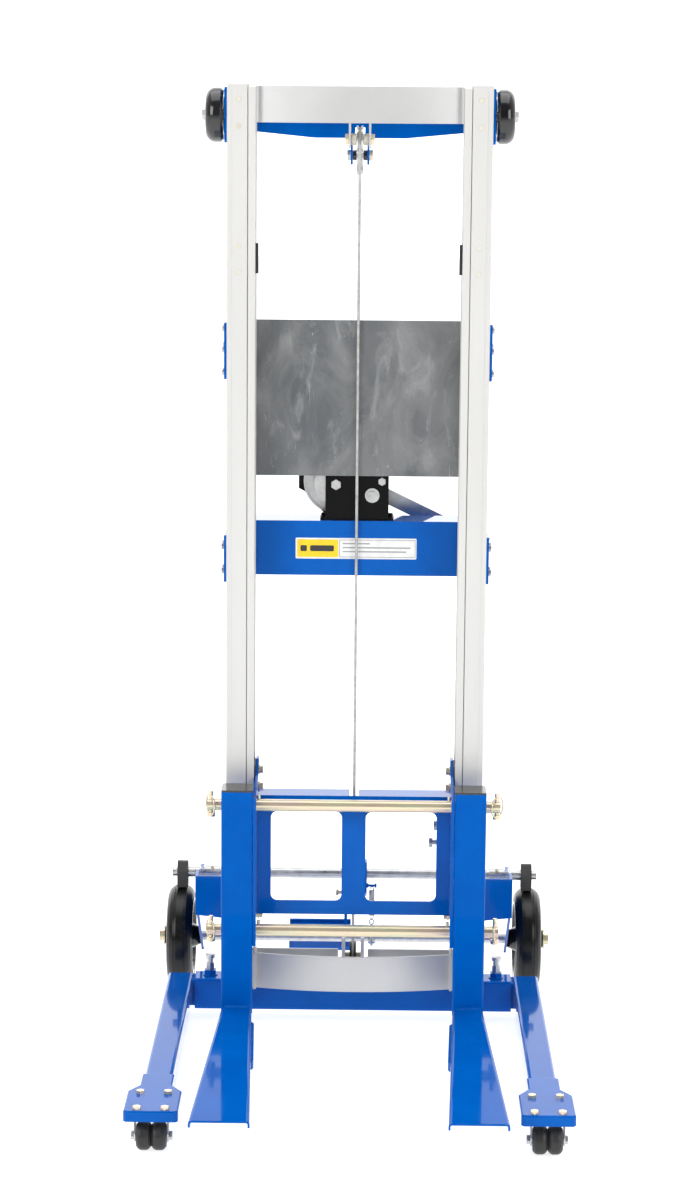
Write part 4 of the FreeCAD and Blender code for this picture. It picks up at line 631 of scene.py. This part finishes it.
def weld(name, start, end, radius, body, slot="blue_paint"):
    """Painted weld bead with the ripples of its pool."""
    rng = random.Random(name)
    shift = rng.uniform(0.0, 3.0) * MM
    pitch = 3.1 * MM

    def bead(angle, distance):
        ripple = abs(math.sin(math.pi * (distance + shift) / pitch))
        return radius * MM * (0.82 + 0.18 * ripple)
    path = line(Vector(start) * MM, Vector(end) * MM, 0.6 * MM)
    piece = sweep(name, path, bead, 12, MATERIALS[slot])
    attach(piece, body)


def add_welds():
    for side, k in (("L", -1), ("R", 1)):
        weld("weld_heel_" + side, (k * 190, 11.4, 106.6), (k * 236, 11.4, 106.6), 2.6, "carriage")
        weld("weld_plate_" + side, (k * 177.4, 84.6, 272), (k * 177.4, 84.6, 486), 2.2, "carriage")
        weld("weld_gusset_" + side, (k * 204.6, 267.4, 26), (k * 204.6, 267.4, 78), 2.2, "base")
        weld("weld_bracket_" + side, (k * 299.1, 272.4, 212), (k * 299.1, 272.4, 280), 2.2, "base")
        weld("weld_web_" + side, (k * 14.2, 107.5, 112), (k * 14.2, 107.5, 174), 1.8, "mast",
             "silver_paint")


add_welds()


# ------------------------------------------------------------------ stage, light and camera

def studio_white(name, strength):
    g = Graph(name)
    base = g.mix(g.ramp(g.noise(3.0, 3.0), 0.3, 0.7), rgb(0.60, 0.60, 0.60), rgb(0.62, 0.62, 0.62))
    material = g.finish(base, 0.75, [], 0.0)
    g.shader.inputs["Emission Color"].default_value = rgb(1.0, 1.0, 1.0)
    g.shader.inputs["Emission Strength"].default_value = strength
    return material


SHEET_HALF = 45.0
FLOOR_FRONT = -9.0
FAR_FLOOR_FRONT = -40.0
FLOOR_BACK = 26.0
CURVE_R = 8.0
BACKDROP_TOP = 40.0


def wide_sheet(name, profile, material):
    """Sheet of (y, z) points, wide enough for every view."""
    verts, faces = [], []
    for y, z in profile:
        verts += [(-SHEET_HALF, y, z), (SHEET_HALF, y, z)]
    for i in range(len(profile) - 1):
        faces.append((2 * i, 2 * i + 1, 2 * i + 3, 2 * i + 2))
    mesh_object(name, verts, faces, material)


def add_floor():
    """Pale floor, dimmer far in front, and a brighter backdrop that curves up far behind."""
    curve = [(FLOOR_BACK, 0.0)]
    for step in range(1, 13):
        angle = math.radians(7.5 * step)
        curve.append((FLOOR_BACK + CURVE_R * math.sin(angle), CURVE_R * (1 - math.cos(angle))))
    curve.append((FLOOR_BACK + CURVE_R, BACKDROP_TOP))
    wide_sheet("studio_floor", [(FLOOR_FRONT, 0.0), (FLOOR_BACK, 0.0)], studio_white("pale_floor", 0.8))
    wide_sheet("studio_far_floor", [(FAR_FLOOR_FRONT, 0.0), (FLOOR_FRONT, 0.0)],
               studio_white("dim_floor", 0.25))
    wide_sheet("studio_backdrop", curve, studio_white("bright_backdrop", 1.45))


def area_light(name, place, target, size, power):
    data = bpy.data.lights.new(name, "AREA")
    data.shape = "RECTANGLE"
    data.size, data.size_y = size
    data.energy = power
    lamp = bpy.data.objects.new(name, data)
    lamp.location = place
    lamp.rotation_mode = "QUATERNION"
    lamp.rotation_quaternion = (Vector(target) - Vector(place)).to_track_quat("-Z", "Y")
    bpy.context.scene.collection.objects.link(lamp)


def add_world():
    """Even white behind and above the object, falling to a dim room on the viewer's side."""
    world = bpy.data.worlds.new("studio")
    world.use_nodes = True
    tree = world.node_tree
    sky = tree.nodes["Background"]
    place = tree.nodes.new("ShaderNodeTexCoord")
    split = tree.nodes.new("ShaderNodeSeparateXYZ")
    fade = tree.nodes.new("ShaderNodeMapRange")
    tree.links.new(place.outputs["Generated"], split.inputs["Vector"])
    tree.links.new(split.outputs["Y"], fade.inputs["Value"])
    fade.inputs["From Min"].default_value = -0.6
    fade.inputs["From Max"].default_value = 0.2
    fade.inputs["To Min"].default_value = 0.10
    fade.inputs["To Max"].default_value = 0.85
    tree.links.new(fade.outputs["Result"], sky.inputs["Strength"])
    sky.inputs["Color"].default_value = rgb(1.0, 1.0, 1.0)
    bpy.context.scene.world = world


CAMERA_PLACE = (0.02725, -5.1837, 1.7813)
CAMERA_ANGLES = (9.939, -0.491, 0.479)      # pitch down, yaw, roll, in degrees
CAMERA_LENS = 87.96


def add_camera():
    """Main view from the fork end, eye height near the mast top, slightly turned and tilted."""
    pitch, yaw, roll = (math.radians(a) for a in CAMERA_ANGLES)
    level = math.cos(pitch)
    forward = Vector((math.sin(yaw) * level, math.cos(yaw) * level, -math.sin(pitch)))
    right = Vector((math.cos(yaw), -math.sin(yaw), 0.0))
    up = right.cross(forward)
    right_rolled = right * math.cos(roll) + up * math.sin(roll)
    up_rolled = -right * math.sin(roll) + up * math.cos(roll)
    rotation = Matrix((right_rolled, up_rolled, -forward)).transposed()
    data = bpy.data.cameras.new("camera")
    data.sensor_width = 36.0
    data.lens = CAMERA_LENS
    data.clip_end = 60.0
    camera = bpy.data.objects.new("camera", data)
    camera.matrix_world = Matrix.Translation(CAMERA_PLACE) @ rotation.to_4x4()
    bpy.context.scene.collection.objects.link(camera)
    bpy.context.scene.camera = camera


add_floor()
add_world()
area_light("key", (-3.0, -3.6, 3.0), (0, 0, 0.9), (2.6, 2.8), 118)
area_light("fill", (3.4, -3.4, 2.6), (0, 0, 0.9), (2.4, 2.8), 93)
area_light("top", (0.0, 0.2, 4.2), (0, 0, 0.0), (3.6, 2.8), 60)
area_light("backdrop", (0.0, 3.4, 4.2), (0, 8.0, 0.6), (5.0, 2.0), 160)
add_camera()
bpy.context.scene.view_settings.view_transform = "Standard"
